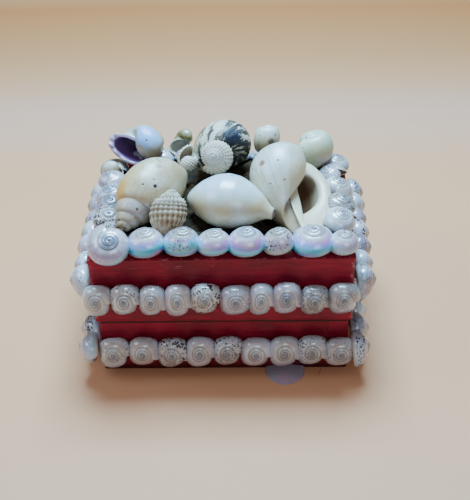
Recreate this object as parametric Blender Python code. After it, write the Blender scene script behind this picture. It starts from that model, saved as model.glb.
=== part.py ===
"""A small red card box with a lift-off lid, covered in glued seashells.

Metres, +Z up. The origin is the middle of the underside and the front faces -Y.
"""
import math

import bmesh
import bpy
from mathutils import Matrix, Vector
from mathutils.bvhtree import BVHTree

MM = 0.001

# The box
BOX_WIDTH = 110 * MM
BOX_DEPTH = 82 * MM
BOX_HEIGHT = 60 * MM
LID_EDGE_Z = 27.8 * MM
BOARD_THICKNESS = 2.0 * MM
BOARD_PROUD = 0.5 * MM
LID_WALL = 1.1 * MM
TRAY_WALL = 1.5 * MM
TRAY_FLOOR = 2.0 * MM
CORNER_RADIUS = 1.2 * MM
GAP = 0.3 * MM

# Where the shells stand
WALL_X = BOX_WIDTH / 2 - BOARD_PROUD
WALL_Y = BOX_DEPTH / 2 - BOARD_PROUD
TRAY_X = WALL_X - LID_WALL - GAP
TRAY_Y = WALL_Y - LID_WALL - GAP
SHELL_BASE_Z = BOX_HEIGHT + GAP
GLUE_THICKNESS = 1.5 * MM

# The button top shells on the walls
WALL_SHELL_TALL = 14.0 * MM
WALL_SHELL_HEIGHT = 9.8 * MM
LID_ROW_Z = 41.0 * MM
TRAY_ROW_Z = 12.2 * MM
LID_SIDE_COUNT = 7
LID_SIDE_PITCH = 11.2 * MM
LID_BACK_COUNT = 10
LID_BACK_PITCH = 11.2 * MM
TRAY_SIDE_COUNT = 8
TRAY_SIDE_PITCH = 11.5 * MM
TRAY_SIDE_SHIFT = -2.0 * MM
TRAY_LONG_COUNT = 9
TRAY_LONG_PITCH = 11.5 * MM
LID_FRONT_WIDTHS = (11.3, 11.2, 10.0, 10.6, 11.6, 12.4, 9.7, 10.8, 10.9, 11.6)

# The border of button top shells on the top board
BORDER_HEIGHT = 11.6 * MM
BORDER_LEAN = 14.0
BORDER_FRONT_WIDTHS = (15.6, 13.8, 13.2, 12.8, 13.6, 11.6, 15.0, 10.0)
BORDER_FRONT_LEFT = -53.8 * MM
BORDER_FRONT_Y = -35.2 * MM
BORDER_SIDE_PLACES = (-18.6, -5.4, 7.0, 18.6, 29.4)
BORDER_SIDE_HEIGHTS = (9.6, 9.4, 8.6, 7.0, 6.2)
BORDER_SIDE_X = 49.4 * MM
BORDER_SIDE_WIDTH = 11.6 * MM
BORDER_BACK_COUNT = 8
BORDER_BACK_PITCH = 11.6 * MM
BORDER_BACK_Y = 34.6 * MM
BORDER_BACK_HEIGHT = 6.6 * MM

# Radius as a share of the width, and height as a share of the height, from base to tip
BUTTON_PROFILE = ((0.45, 0.00), (0.50, 0.20), (0.47, 0.46), (0.32, 0.74), (0.14, 0.94))
PLAIN_PROFILE = ((0.45, 0.00), (0.50, 0.28), (0.39, 0.66), (0.15, 0.93))


def clear_scene():
    for old in list(bpy.data.objects):
        bpy.data.objects.remove(old, do_unlink=True)


def make_material(name, color, roughness, metallic=0.0):
    material = bpy.data.materials.new(name)
    material.use_nodes = True
    surface = material.node_tree.nodes["Principled BSDF"]
    surface.inputs["Base Color"].default_value = (*color, 1.0)
    surface.inputs["Roughness"].default_value = roughness
    surface.inputs["Metallic"].default_value = metallic
    material.diffuse_color = (*color, 1.0)
    return material


def add_object(name, bm, material, smooth=True):
    """Turn a bmesh into a scene object with outward faces."""
    bmesh.ops.recalc_face_normals(bm, faces=bm.faces)
    mesh = bpy.data.meshes.new(name)
    bm.to_mesh(mesh)
    bm.free()
    mesh.materials.append(material)
    if smooth:
        mesh.shade_smooth()
        mesh.set_sharp_from_angle(angle=math.radians(50))
    piece = bpy.data.objects.new(name, mesh)
    bpy.context.collection.objects.link(piece)
    return piece


def skin_rings(rings):
    """Join rings of points into one closed bmesh; a ring of one point is a pole."""
    bm = bmesh.new()
    rows = [[bm.verts.new(point) for point in ring] for ring in rings]
    for lower, upper in zip(rows, rows[1:]):
        count = max(len(lower), len(upper))
        for i in range(count):
            k = (i + 1) % count
            if len(upper) == 1:
                bm.faces.new((lower[i], lower[k], upper[0]))
            elif len(lower) == 1:
                bm.faces.new((lower[0], upper[k], upper[i]))
            else:
                bm.faces.new((lower[i], lower[k], upper[k], upper[i]))
    for row in (rows[0], rows[-1]):
        if len(row) > 1:
            bm.faces.new(row)
    return bm


def rounded_rectangle(half_x, half_y, z, radius=CORNER_RADIUS, steps=2):
    """A ring around a rectangle whose corners are arcs."""
    ring = []
    for corner, (sx, sy) in enumerate(((1, 1), (-1, 1), (-1, -1), (1, -1))):
        for step in range(steps + 1):
            angle = math.radians(90 * (corner + step / steps))
            x = sx * (half_x - radius) + radius * math.cos(angle)
            y = sy * (half_y - radius) + radius * math.sin(angle)
            ring.append(Vector((x, y, z)))
    return ring


def tip_matrix(place, tip, mouth):
    """Local +Z goes to the shell's tip and local +X to its mouth."""
    z_axis = Vector(tip).normalized()
    x_axis = Vector(mouth) - z_axis * Vector(mouth).dot(z_axis)
    x_axis.normalize()
    y_axis = z_axis.cross(x_axis)
    turn = Matrix((x_axis, y_axis, z_axis)).transposed()
    return Matrix.Translation(Vector(place)) @ turn.to_4x4()


def place_object(piece, matrix):
    piece.location = matrix.to_translation()
    piece.rotation_euler = matrix.to_euler()
    bpy.context.view_layer.update()


# ---- the card box -------------------------------------------------------------------


def make_tray(material):
    top = BOX_HEIGHT - BOARD_THICKNESS - GAP
    inner_x = TRAY_X - TRAY_WALL
    inner_y = TRAY_Y - TRAY_WALL
    rings = [
        rounded_rectangle(TRAY_X, TRAY_Y, 0),
        rounded_rectangle(TRAY_X, TRAY_Y, top),
        rounded_rectangle(inner_x, inner_y, top, CORNER_RADIUS / 2),
        rounded_rectangle(inner_x, inner_y, TRAY_FLOOR, CORNER_RADIUS / 2),
    ]
    return add_object("tray", skin_rings(rings), material, smooth=False)


def make_lid(material):
    under = BOX_HEIGHT - BOARD_THICKNESS
    inner_x = WALL_X - LID_WALL
    inner_y = WALL_Y - LID_WALL
    rings = [
        rounded_rectangle(BOX_WIDTH / 2, BOX_DEPTH / 2, BOX_HEIGHT),
        rounded_rectangle(BOX_WIDTH / 2, BOX_DEPTH / 2, under),
        rounded_rectangle(WALL_X, WALL_Y, under),
        rounded_rectangle(WALL_X, WALL_Y, LID_EDGE_Z),
        rounded_rectangle(inner_x, inner_y, LID_EDGE_Z, CORNER_RADIUS / 2),
        rounded_rectangle(inner_x, inner_y, under, CORNER_RADIUS / 2),
    ]
    return add_object("lid", skin_rings(rings), material, smooth=False)


def make_glue_bed(material):
    """A thin wavy-edged pad of set glue under the large shells."""
    half_x = 40 * MM
    half_y = 25 * MM
    middle_y = 1 * MM
    sides = 16
    rings = []
    for share, z in ((1.0, 0.0), (0.93, 1.0)):
        ring = []
        for i in range(sides):
            angle = math.tau * i / sides
            wave = 1 + 0.04 * math.sin(5 * angle) + 0.03 * math.sin(7 * angle + 1)
            # a squared circle: both powers stay under one
            x = math.copysign(abs(math.cos(angle)) ** 0.6, math.cos(angle))
            y = math.copysign(abs(math.sin(angle)) ** 0.6, math.sin(angle))
            lift = SHELL_BASE_Z + z * (GLUE_THICKNESS - GAP)
            ring.append(Vector((half_x * x * wave * share, middle_y + half_y * y * wave * share, lift)))
        rings.append(ring)
    return add_object("glue_bed", skin_rings(rings), material)


# ---- button top shells -----------------------------------------------------------------


def button_rings(width, tall, height, profile, sides, swell=0.05):
    """Rings of a low round shell; each whorl widens from its start to its mouth."""
    rings = []
    for share, level in profile:
        ring = []
        for i in range(sides):
            angle = math.tau * i / sides
            grown = share * (1 - swell + swell * i / sides)
            ring.append(Vector((width * grown * math.cos(angle), tall * grown * math.sin(angle), height * level)))
        rings.append(ring)
    rings.append([Vector((0, 0, height))])
    return rings


def make_button(name, width, tall, height, matrix, material, profile=BUTTON_PROFILE, sides=9):
    piece = add_object(name, skin_rings(button_rings(width, tall, height, profile, sides)), material)
    place_object(piece, matrix)
    return piece


def wall_matrix(along, out, z, side):
    """Place of a shell on a wall: side is the wall's outward direction."""
    outward = Vector(side)
    sideways = Vector((-outward.y, outward.x, 0))
    place = sideways * along + outward * out + Vector((0, 0, z))
    return tip_matrix(place, outward, sideways)


def make_wall_row(name, side, out, z, count, pitch, shift, material, sides=8):
    """A row of touching shells: every second one is joined to the others by a union."""
    halves = []
    for parity in (0, 1):
        bm = bmesh.new()
        for i in range(parity, count, 2):
            along = (i - (count - 1) / 2) * pitch + shift
            width = pitch * (1.13 + 0.05 * math.sin(2.3 * i + 3 * z / MM))
            tall = WALL_SHELL_TALL * (1 + 0.03 * math.sin(1.7 * i + z / MM))
            shell = skin_rings(button_rings(width, tall, WALL_SHELL_HEIGHT, PLAIN_PROFILE, sides))
            bmesh.ops.transform(shell, matrix=wall_matrix(along, out, z, side), verts=shell.verts)
            loose = bpy.data.meshes.new("loose")
            shell.to_mesh(loose)
            shell.free()
            bm.from_mesh(loose)
            bpy.data.meshes.remove(loose)
        halves.append(add_object(name if parity == 0 else name + "_odd", bm, material))
    row, odd = halves
    join = row.modifiers.new("join", "BOOLEAN")
    join.operation = "UNION"
    join.solver = "EXACT"
    join.object = odd
    odd.hide_render = True
    odd.display_type = "WIRE"
    return row


def make_lid_front_shells(material):
    """Ten separate shells side by side, each as wide as its own entry."""
    total = sum(LID_FRONT_WIDTHS) * MM + GAP * (len(LID_FRONT_WIDTHS) - 1)
    left = -total / 2
    shells = []
    for number, width_mm in enumerate(LID_FRONT_WIDTHS, 1):
        width = width_mm * MM
        tall = WALL_SHELL_TALL * (0.9 + 0.1 * width_mm / max(LID_FRONT_WIDTHS))
        matrix = wall_matrix(left + width / 2, WALL_Y + GAP, LID_ROW_Z, (0, -1, 0))
        shells.append(make_button(f"lid_front_shell_{number}", width, tall, WALL_SHELL_HEIGHT, matrix, material))
        left += width + GAP
    return shells


def lean_matrix(x, y, width, lean, outward):
    """A shell on the top board, its inner rim lifted so that it leans outward."""
    angle = math.radians(lean)
    out = Vector((*outward, 0)).normalized()
    tip = out * math.sin(angle) + Vector((0, 0, math.cos(angle)))
    lift = width / 2 * math.sin(angle)
    return tip_matrix((x, y, SHELL_BASE_Z + lift), tip, out)


def make_border(material):
    shells = []
    left = BORDER_FRONT_LEFT
    for number, width_mm in enumerate(BORDER_FRONT_WIDTHS, 1):
        width = width_mm * MM
        matrix = lean_matrix(left + width / 2, BORDER_FRONT_Y, width, BORDER_LEAN, (0, -1))
        height = BORDER_HEIGHT if number < len(BORDER_FRONT_WIDTHS) else BORDER_HEIGHT * 0.7
        shells.append(make_button(f"border_front_{number}", width, width, height, matrix, material))
        left += width + GAP
    for name, sign in (("left", -1), ("right", 1)):
        for number, (y_mm, height_mm) in enumerate(zip(BORDER_SIDE_PLACES, BORDER_SIDE_HEIGHTS), 1):
            wide = BORDER_SIDE_WIDTH
            matrix = lean_matrix(sign * BORDER_SIDE_X, y_mm * MM, wide, BORDER_LEAN, (sign, 0))
            profile = BUTTON_PROFILE if height_mm > 8 else PLAIN_PROFILE
            shells.append(make_button(f"border_{name}_{number}", wide, wide, height_mm * MM, matrix, material,
                                      profile=profile))
    for number in range(1, BORDER_BACK_COUNT + 1):
        x = (number - (BORDER_BACK_COUNT + 1) / 2) * BORDER_BACK_PITCH
        width = BORDER_BACK_PITCH - GAP
        matrix = lean_matrix(x, BORDER_BACK_Y, width, BORDER_LEAN, (0, 1))
        shells.append(make_button(f"border_back_{number}", width, width, BORDER_BACK_HEIGHT, matrix, material,
                                  profile=PLAIN_PROFILE))
    return shells


# ---- large shells ------------------------------------------------------------------


def snail_rings(length, radius, widest, canal, spire, notches, lip, sides, rows):
    """Rings of a coiled shell from its front end (z = 0) to its tip (z = length).

    The radius grows from the tip as a sine of a power, then closes to the canal.
    Each notch is a suture: a share of the length from the tip where the radius dips.
    lip = (amount, width in degrees, start, end) pushes the wall out towards the mouth.
    """
    rings = []
    for row in range(rows):
        from_tip = 1 - row / rows
        if from_tip <= widest:
            r = radius * math.sin(math.pi / 2 * (from_tip / widest) ** spire)
        else:
            past = (from_tip - widest) / (1 - widest)
            r = canal + (radius - canal) * math.cos(math.pi / 2 * past ** 1.4)
        for notch in notches:
            r *= 1 - 0.13 * math.exp(-((from_tip - notch) / 0.035) ** 2)
        ring = []
        for i in range(sides):
            angle = math.tau * i / sides
            turned = (math.degrees(angle) + 180) % 360 - 180
            amount, spread, start, end = lip
            inside = max(0.0, math.sin(math.pi * min(1, max(0, (from_tip - start) / (end - start)))))
            push = 1 + amount * inside ** 0.6 * math.exp(-(turned / spread) ** 2)
            ring.append(Vector((r * push * math.cos(angle), r * push * math.sin(angle), length * row / rows)))
        rings.append(ring)
    rings.append([Vector((0, 0, length))])
    return rings


def make_snail(name, tip, front, mouth, radius, material, widest=0.6, canal=0.25, spire=0.8,
               notches=(), lip=(0.0, 40.0, 0.3, 1.0), sides=12, rows=9):
    """A coiled shell between two points, in millimetres; mouth is a direction."""
    tip_point = Vector(tip) * MM
    front_point = Vector(front) * MM
    axis = tip_point - front_point
    rings = snail_rings(axis.length, radius * MM, widest, radius * MM * canal, spire, notches, lip, sides, rows)
    piece = add_object(name, skin_rings(rings), material)
    place_object(piece, tip_matrix(front_point, axis, mouth))
    return piece


def cut_hollow(piece, middle, radii, tip, mouth):
    """Cut an egg-shaped hollow, such as the inside of a shell's mouth."""
    bm = bmesh.new()
    bmesh.ops.create_uvsphere(bm, u_segments=8, v_segments=6, radius=1)
    bmesh.ops.scale(bm, vec=Vector(radii) * MM, verts=bm.verts)
    cutter = add_object(piece.name + "_hollow", bm, piece.data.materials[0])
    place_object(cutter, tip_matrix(Vector(middle) * MM, tip, mouth))
    add_cut(piece, cutter)


def add_cut(piece, cutter):
    cutter.hide_render = True
    cutter.display_type = "WIRE"
    cut = piece.modifiers.new("cut", "BOOLEAN")
    cut.operation = "DIFFERENCE"
    cut.solver = "EXACT"
    cut.object = cutter


def world_mesh(piece, grow=0.0):
    """The finished piece as a bmesh in world space, its surface moved out by grow."""
    graph = bpy.context.evaluated_depsgraph_get()
    bm = bmesh.new()
    bm.from_object(piece, graph)
    bm.transform(piece.matrix_world)
    bm.normal_update()
    for vert in bm.verts:
        vert.co += vert.normal * grow
    return bm


def keep_clear(pieces, grow=1.7 * GAP):
    """Cut each piece back from every earlier piece that it would run into."""
    for index, piece in enumerate(pieces):
        for earlier in pieces[:index]:
            mine = world_mesh(piece)
            grown = world_mesh(earlier, grow)
            touching = BVHTree.FromBMesh(mine).overlap(BVHTree.FromBMesh(grown))
            mine.free()
            if not touching:
                grown.free()
                continue
            cutter = add_object(f"{piece.name}_off_{earlier.name}"[:59], grown, piece.data.materials[0])
            add_cut(piece, cutter)
            bpy.context.view_layer.update()


def make_large_shells(cream, white, pearl, dark, tan):
    shells = []

    whelk = make_snail("white_whelk", (23.6, 16, 82.4), (30.6, -30.2, 67), (1, 0, 0.05), 13.1, white,
                       widest=0.46, canal=0.2, spire=0.62, lip=(0.44, 26, 0.15, 1.0), sides=14, rows=9)
    cut_hollow(whelk, (37.6, -10, 78.6), (5.2, 3.4, 12), (-0.13, 0.93, 0.3), (0.85, 0, 0.53))
    shells.append(whelk)

    cream_whelk = make_snail("cream_whelk", (-40.3, -28, 65.2), (-21, 5, 79.5), (-0.8, 0.3, 0.3), 11.4, cream,
                             widest=0.64, canal=0.4, spire=1.05, notches=(0.2, 0.42),
                             lip=(0.2, 40, 0.5, 1.0), sides=11, rows=10)
    shells.append(cream_whelk)

    egg = make_snail("egg_shell", (-13.8, -11.5, 74), (21, -21.4, 72.6), (0.2, 0.9, -0.3), 11.2, cream,
                     widest=0.45, canal=0.18, spire=0.54, sides=10, rows=8)
    shells.append(egg)

    dome = make_snail("dome_snail", (3.0, 23.6, 88), (0.2, 25.2, 62), (0.9, -0.3, 0), 13.9, dark,
                      widest=0.62, canal=0.72, spire=0.62, sides=12, rows=7)
    shells.append(dome)

    purple = make_snail("purple_mouth_snail", (-31, 37, 78), (-39.5, 22.6, 69.6), (-1, 0.3, 0.1), 9.8, pearl,
                        widest=0.56, canal=0.5, spire=0.6, lip=(0.85, 42, 0.1, 1.0), sides=12, rows=8)
    cut_hollow(purple, (-44.6, 31, 78.6), (6.4, 4.6, 4.2), (0.6, 0.3, 0.75), (1, 0, 0))
    shells.append(purple)

    green = make_snail("green_moon_snail", (37.5, 27, 80), (42.5, 23.6, 64.2), (0.8, -0.5, -0.2), 9.5, pearl,
                       widest=0.52, canal=0.4, spire=0.6, rows=7)
    shells.append(green)

    moon = make_snail("white_moon_snail", (21.4, 33.6, 80.6), (18.6, 30, 69.8), (-0.4, -0.9, 0.1), 6.4, white,
                      widest=0.5, canal=0.4, spire=0.6, rows=6, sides=10)
    shells.append(moon)

    beaded = make_snail("beaded_whelk", (-18.8, -24.4, 82.4), (-23.8, -27, 62.2), (-0.9, -0.4, 0), 8.5, tan,
                        widest=0.52, canal=0.25, spire=0.7, notches=(0.16, 0.36), sides=10, rows=9)
    shells.append(beaded)

    ribbed_right = make_snail("ribbed_snail_right", (-4.6, 1.6, 84.2), (-3.2, 13, 75.6), (0.9, 0.2, 0.3), 6.6, white,
                              widest=0.55, canal=0.4, spire=0.62, rows=8, sides=10)
    shells.append(ribbed_right)

    ribbed_left = make_snail("ribbed_snail_left", (-16.5, 9.5, 72.6), (-13.2, 14.5, 82.6), (0.7, -0.6, 0.4), 5.6, white,
                             widest=0.55, canal=0.5, spire=0.62, rows=8, sides=10)
    shells.append(ribbed_left)

    pearly = make_snail("pearly_snail", (-13.4, 36.6, 71.8), (-26.6, 35.6, 69.4), (0.1, -0.6, 0.8), 5.2, tan,
                        widest=0.6, canal=0.5, spire=0.7, rows=6, sides=10)
    cut_hollow(pearly, (-22, 34.2, 74.4), (4.2, 2.6, 2.8), (-0.1, -0.6, 0.8), (1, 0, 0))
    shells.append(pearly)

    broken = make_snail("broken_snail", (-46.6, 24.4, 71.6), (-49.6, 19.6, 62.8), (-0.3, -0.9, 0.3), 4.7, cream,
                        widest=0.55, canal=0.4, spire=0.65, rows=6, sides=10)
    cut_hollow(broken, (-49.8, 17.6, 68.6), (1.9, 1.9, 3.0), (-0.3, -0.8, 0.5), (1, 0, 0))
    shells.append(broken)
    return shells


def make_foot_chip(material):
    """A curved flake of shell that lies against the foot of the front wall."""
    rings = []
    half_width = 8.4 * MM
    thickness = 0.9 * MM
    columns = 6
    middle_x = 26.2 * MM
    back_y = -TRAY_Y - GAP
    for i in range(columns + 1):
        share = 2 * i / columns - 1
        reach = 10.6 * MM * math.sqrt(1 - 0.86 * share * share)
        lift = 0.9 * MM * (1 - share * share)
        x = middle_x + half_width * share
        tilt = 1.2 * MM
        rings.append([
            Vector((x, back_y, tilt + lift)),
            Vector((x, back_y - reach, 0)),
            Vector((x, back_y - reach, thickness * 0.5)),
            Vector((x, back_y, tilt + lift + thickness)),
        ])
    return add_object("foot_chip", skin_rings(rings), material)


def main():
    clear_scene()
    red = make_material("red_card", (0.20, 0.012, 0.018), 0.45)
    glue = make_material("glue", (0.42, 0.34, 0.22), 0.5)
    pearl = make_material("button_pearl", (0.72, 0.68, 0.66), 0.25)
    cream = make_material("cream_shell", (0.74, 0.68, 0.53), 0.35)
    white = make_material("white_shell", (0.78, 0.75, 0.68), 0.4)
    blue = make_material("blue_white_shell", (0.62, 0.64, 0.62), 0.3)
    dark = make_material("black_white_shell", (0.35, 0.35, 0.36), 0.35)
    tan = make_material("tan_shell", (0.55, 0.44, 0.31), 0.55)
    lilac = make_material("lilac_shell", (0.50, 0.42, 0.52), 0.25)

    make_tray(red)
    make_lid(red)
    bed = make_glue_bed(glue)
    make_foot_chip(lilac)

    # a row's shift is along its wall, anticlockwise seen from above
    lid_side = (WALL_X + GAP, LID_ROW_Z, LID_SIDE_COUNT, LID_SIDE_PITCH)
    lid_back = (WALL_Y + GAP, LID_ROW_Z, LID_BACK_COUNT, LID_BACK_PITCH)
    tray_side = (TRAY_X + GAP, TRAY_ROW_Z, TRAY_SIDE_COUNT, TRAY_SIDE_PITCH)
    tray_long = (TRAY_Y + GAP, TRAY_ROW_Z, TRAY_LONG_COUNT, TRAY_LONG_PITCH)
    make_wall_row("lid_left_row", (-1, 0, 0), *lid_side, 0, pearl, sides=7)
    make_wall_row("lid_right_row", (1, 0, 0), *lid_side, 0, pearl, sides=7)
    make_wall_row("lid_back_row", (0, 1, 0), *lid_back, 0, pearl, sides=7)
    make_wall_row("tray_left_row", (-1, 0, 0), *tray_side, -TRAY_SIDE_SHIFT, pearl, sides=7)
    make_wall_row("tray_right_row", (1, 0, 0), *tray_side, TRAY_SIDE_SHIFT, pearl, sides=7)
    make_wall_row("tray_front_row", (0, -1, 0), *tray_long, 0, pearl)
    make_wall_row("tray_back_row", (0, 1, 0), *tray_long, 0, pearl, sides=7)
    make_lid_front_shells(pearl)

    large = make_large_shells(cream, white, blue, dark, tan)
    border = make_border(pearl)
    keep_clear(large + border + [bed])


main()
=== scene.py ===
import math

import bpy
import numpy as np
from mathutils import Matrix, Vector


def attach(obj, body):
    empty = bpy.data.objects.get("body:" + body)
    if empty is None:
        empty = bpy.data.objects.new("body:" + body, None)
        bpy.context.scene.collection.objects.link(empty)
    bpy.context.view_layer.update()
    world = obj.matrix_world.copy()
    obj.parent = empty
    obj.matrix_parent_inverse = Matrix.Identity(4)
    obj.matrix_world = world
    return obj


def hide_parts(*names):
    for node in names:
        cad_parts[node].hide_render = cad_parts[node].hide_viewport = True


# A red card box covered in seashells. Lengths below are in millimetres until a mesh is made.
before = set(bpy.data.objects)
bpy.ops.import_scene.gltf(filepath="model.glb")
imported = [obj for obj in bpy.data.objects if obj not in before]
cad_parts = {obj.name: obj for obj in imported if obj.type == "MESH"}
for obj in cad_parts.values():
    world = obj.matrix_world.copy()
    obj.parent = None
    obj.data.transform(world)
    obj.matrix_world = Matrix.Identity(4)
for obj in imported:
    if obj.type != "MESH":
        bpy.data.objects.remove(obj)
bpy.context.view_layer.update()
mm = 0.001
body = "root"
print("frame loaded:", len(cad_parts), "nodes")


def ripple(points, wavelength, seed, waves=7):
    # Soft bumps of about -1 to 1: sine waves in seeded directions, added together
    draw = np.random.default_rng(seed)
    total = np.zeros(points.shape[:-1])
    for step in range(waves):
        direction = draw.normal(size=points.shape[-1])
        direction *= 2 * math.pi / (np.linalg.norm(direction) * wavelength) * draw.uniform(0.6, 1.8)
        total += np.sin(points @ direction + draw.uniform(0, 6.28))
    return total / math.sqrt(waves)


def smooth(value, low, high):
    # Goes from 0 at low to 1 at high along a soft S
    share = np.clip((value - low) / (high - low), 0, 1)
    return share * share * (3 - 2 * share)


def skinLoops(points, marks=None):
    # A closed skin over rows of loops; each end loop closes on a pole at its middle
    rows, cols, _ = points.shape
    index = np.arange(rows * cols).reshape(rows, cols)
    after = np.roll(index, -1, axis=1)
    quads = np.stack([index[:-1], after[:-1], after[1:], index[1:]], axis=-1).reshape(-1, 4)
    first = np.full(cols, rows * cols)
    startCap = np.stack([after[0], index[0], first], axis=-1)
    endCap = np.stack([index[-1], after[-1], first + 1], axis=-1)
    corners = np.concatenate([points.reshape(-1, 3), points[0].mean(0)[None], points[-1].mean(0)[None]])
    skin = {"points": corners, "quads": quads, "tris": np.concatenate([startCap, endCap]), "marks": {}}
    for name, values in (marks or {}).items():
        values = np.broadcast_to(values, points.shape)
        skin["marks"][name] = np.concatenate([values.reshape(-1, 3), values[0].mean(0)[None],
                                              values[-1].mean(0)[None]])
    return faceOutward(skin)


def faceOutward(skin):
    # The signed volume says which way the faces point; a negative one turns them all
    p = skin["points"]
    q = skin["quads"]
    fans = np.concatenate([q[:, [0, 1, 2]], q[:, [0, 2, 3]], skin["tris"]])
    volume = np.einsum("ij,ij->", p[fans[:, 0]], np.cross(p[fans[:, 1]], p[fans[:, 2]]))
    if volume < 0:
        skin["quads"] = q[:, ::-1]
        skin["tris"] = skin["tris"][:, ::-1]
    return skin


def joinSkins(skins):
    # Several skins as one, their corner numbers moved along
    starts = np.cumsum([0] + [len(skin["points"]) for skin in skins[:-1]])
    joined = {"points": np.concatenate([skin["points"] for skin in skins])}
    for key in ("quads", "tris"):
        joined[key] = np.concatenate([skin[key] + start for skin, start in zip(skins, starts)])
    joined["marks"] = {name: np.concatenate([skin["marks"][name] for skin in skins])
                       for name in skins[0]["marks"]}
    return joined


def makePiece(name, skin, material, stands=(), sharp=None):
    # A skin in millimetres becomes a piece that rides on the box and stands for its CAD nodes
    mesh = bpy.data.meshes.new(name)
    mesh.vertices.add(len(skin["points"]))
    mesh.vertices.foreach_set("co", (skin["points"] * mm).astype(np.float32).ravel())
    loops = np.concatenate([skin["quads"].ravel(), skin["tris"].ravel()])
    mesh.loops.add(len(loops))
    mesh.loops.foreach_set("vertex_index", loops.astype(np.int32))
    quadCount = len(skin["quads"])
    triCount = len(skin["tris"])
    starts = np.concatenate([np.arange(quadCount) * 4, quadCount * 4 + np.arange(triCount) * 3])
    mesh.polygons.add(quadCount + triCount)
    mesh.polygons.foreach_set("loop_start", starts.astype(np.int32))
    mesh.update(calc_edges=True)
    mesh.validate()
    for mark, values in skin["marks"].items():
        layer = mesh.attributes.new(mark, "FLOAT_VECTOR", "POINT")
        layer.data.foreach_set("vector", values.astype(np.float32).ravel())
    mesh.shade_smooth()
    if sharp:
        mesh.set_sharp_from_angle(angle=math.radians(sharp))
    mesh.materials.append(material)
    piece = bpy.data.objects.new(name, mesh)
    bpy.context.scene.collection.objects.link(piece)
    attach(piece, body)
    if stands:
        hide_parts(*stands)
    return piece


class Wire:
    # One value in a material. Arithmetic on it adds the Math nodes.
    def __init__(self, paint, socket):
        self.paint = paint
        self.socket = socket

    def math(self, operation, first, second=0.0):
        return self.paint.node("ShaderNodeMath", {"operation": operation}, {0: first, 1: second})

    def __add__(self, other):
        return self.math("ADD", self, other)

    def __sub__(self, other):
        return self.math("SUBTRACT", self, other)

    def __rsub__(self, other):
        return self.math("SUBTRACT", other, self)

    def __mul__(self, other):
        return self.math("MULTIPLY", self, other)

    def __truediv__(self, other):
        return self.math("DIVIDE", self, other)

    __radd__ = __add__
    __rmul__ = __mul__

    def sine(self):
        return self.math("SINE", self)

    def size(self):
        return self.math("ABSOLUTE", self)

    def least(self, other):
        return self.math("MINIMUM", self, other)

    def most(self, other):
        return self.math("MAXIMUM", self, other)

    def ease(self, low, high, way="SMOOTHSTEP"):
        # 0 at low and 1 at high; low may be the larger one
        return self.paint.node("ShaderNodeMapRange", {"interpolation_type": way}, {0: self, 1: low, 2: high})


class Paint:
    # A material while it is wired up
    def __init__(self, name):
        self.material = bpy.data.materials.new(name)
        self.material.use_nodes = True
        self.tree = self.material.node_tree
        self.surface = self.tree.nodes["Principled BSDF"]

    def node(self, kind, settings=None, inputs=None, output=0):
        # Any node: its type, its settings or a ramp's stops, then values or links for its sockets
        made = self.tree.nodes.new(kind)
        for key, value in (settings or {}).items():
            if key == "stops":
                while len(made.color_ramp.elements) < len(value):
                    made.color_ramp.elements.new(0.5)
                for element, (place, tone) in zip(made.color_ramp.elements, value):
                    element.position = place
                    element.color = (*tone, 1)
            else:
                setattr(made, key, value)
        for key, value in (inputs or {}).items():
            self.feed(made.inputs[key], value)
        return Wire(self, made.outputs[output])

    def feed(self, socket, value):
        if isinstance(value, Wire):
            self.tree.links.new(value.socket, socket)
        elif isinstance(value, tuple) and socket.type == "RGBA":
            socket.default_value = (*value, 1)
        else:
            socket.default_value = value

    def place(self):      # object coordinates, in metres
        return self.node("ShaderNodeTexCoord", output="Object")

    def mark(self, name):     # the three values that a mesh attribute holds
        return self.parts(self.node("ShaderNodeAttribute", {"attribute_name": name}, output="Vector"))

    def parts(self, vector):      # a vector's x, y and z
        split = self.tree.nodes.new("ShaderNodeSeparateXYZ")
        self.feed(split.inputs[0], vector)
        return [Wire(self, output) for output in split.outputs]

    def vector(self, x, y, z):
        return self.node("ShaderNodeCombineXYZ", inputs={0: x, 1: y, 2: z})

    def noise(self, vector, scale, detail=2.0, roughness=0.5, distortion=0.0):
        return self.node("ShaderNodeTexNoise", inputs={"Vector": vector, "Scale": scale, "Detail": detail,
                                                       "Roughness": roughness, "Distortion": distortion})

    def cells(self, vector, scale, randomness=1.0):     # distance to the nearest cell's middle
        return self.node("ShaderNodeTexVoronoi", inputs={"Vector": vector, "Scale": scale,
                                                         "Randomness": randomness})

    def mix(self, factor, first, second):
        return self.node("ShaderNodeMix", {"data_type": "RGBA", "clamp_factor": True},
                         {0: factor, 6: first, 7: second}, output=2)

    def ramp(self, factor, stops):
        return self.node("ShaderNodeValToRGB", {"stops": stops}, {0: factor})

    def finish(self, bump=None, **sockets):
        # sockets are the surface's own, named with _ for a space; bump is (height, strength, distance in mm)
        for key, value in sockets.items():
            self.feed(self.surface.inputs[key.replace("_", " ")], value)
        if bump:
            height, strength, distance = bump
            normal = self.node("ShaderNodeBump", inputs={"Height": height, "Strength": strength,
                                                         "Distance": distance * mm})
            self.feed(self.surface.inputs["Normal"], normal)
        return self.material


redCard = {
    "red": (0.37, 0.008, 0.036),
    "dark": (0.145, 0.002, 0.015),
    "rose": (0.62, 0.24, 0.24),
    "halfWide": 55.0,
    "halfDeep": 41.0,
    "top": 60.0,
    # height of the painted shadow band under the lid's edge
    "shadowUnderLid": 26.6,
    "shadow": (0.01, 0.001, 0.002),
}


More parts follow.
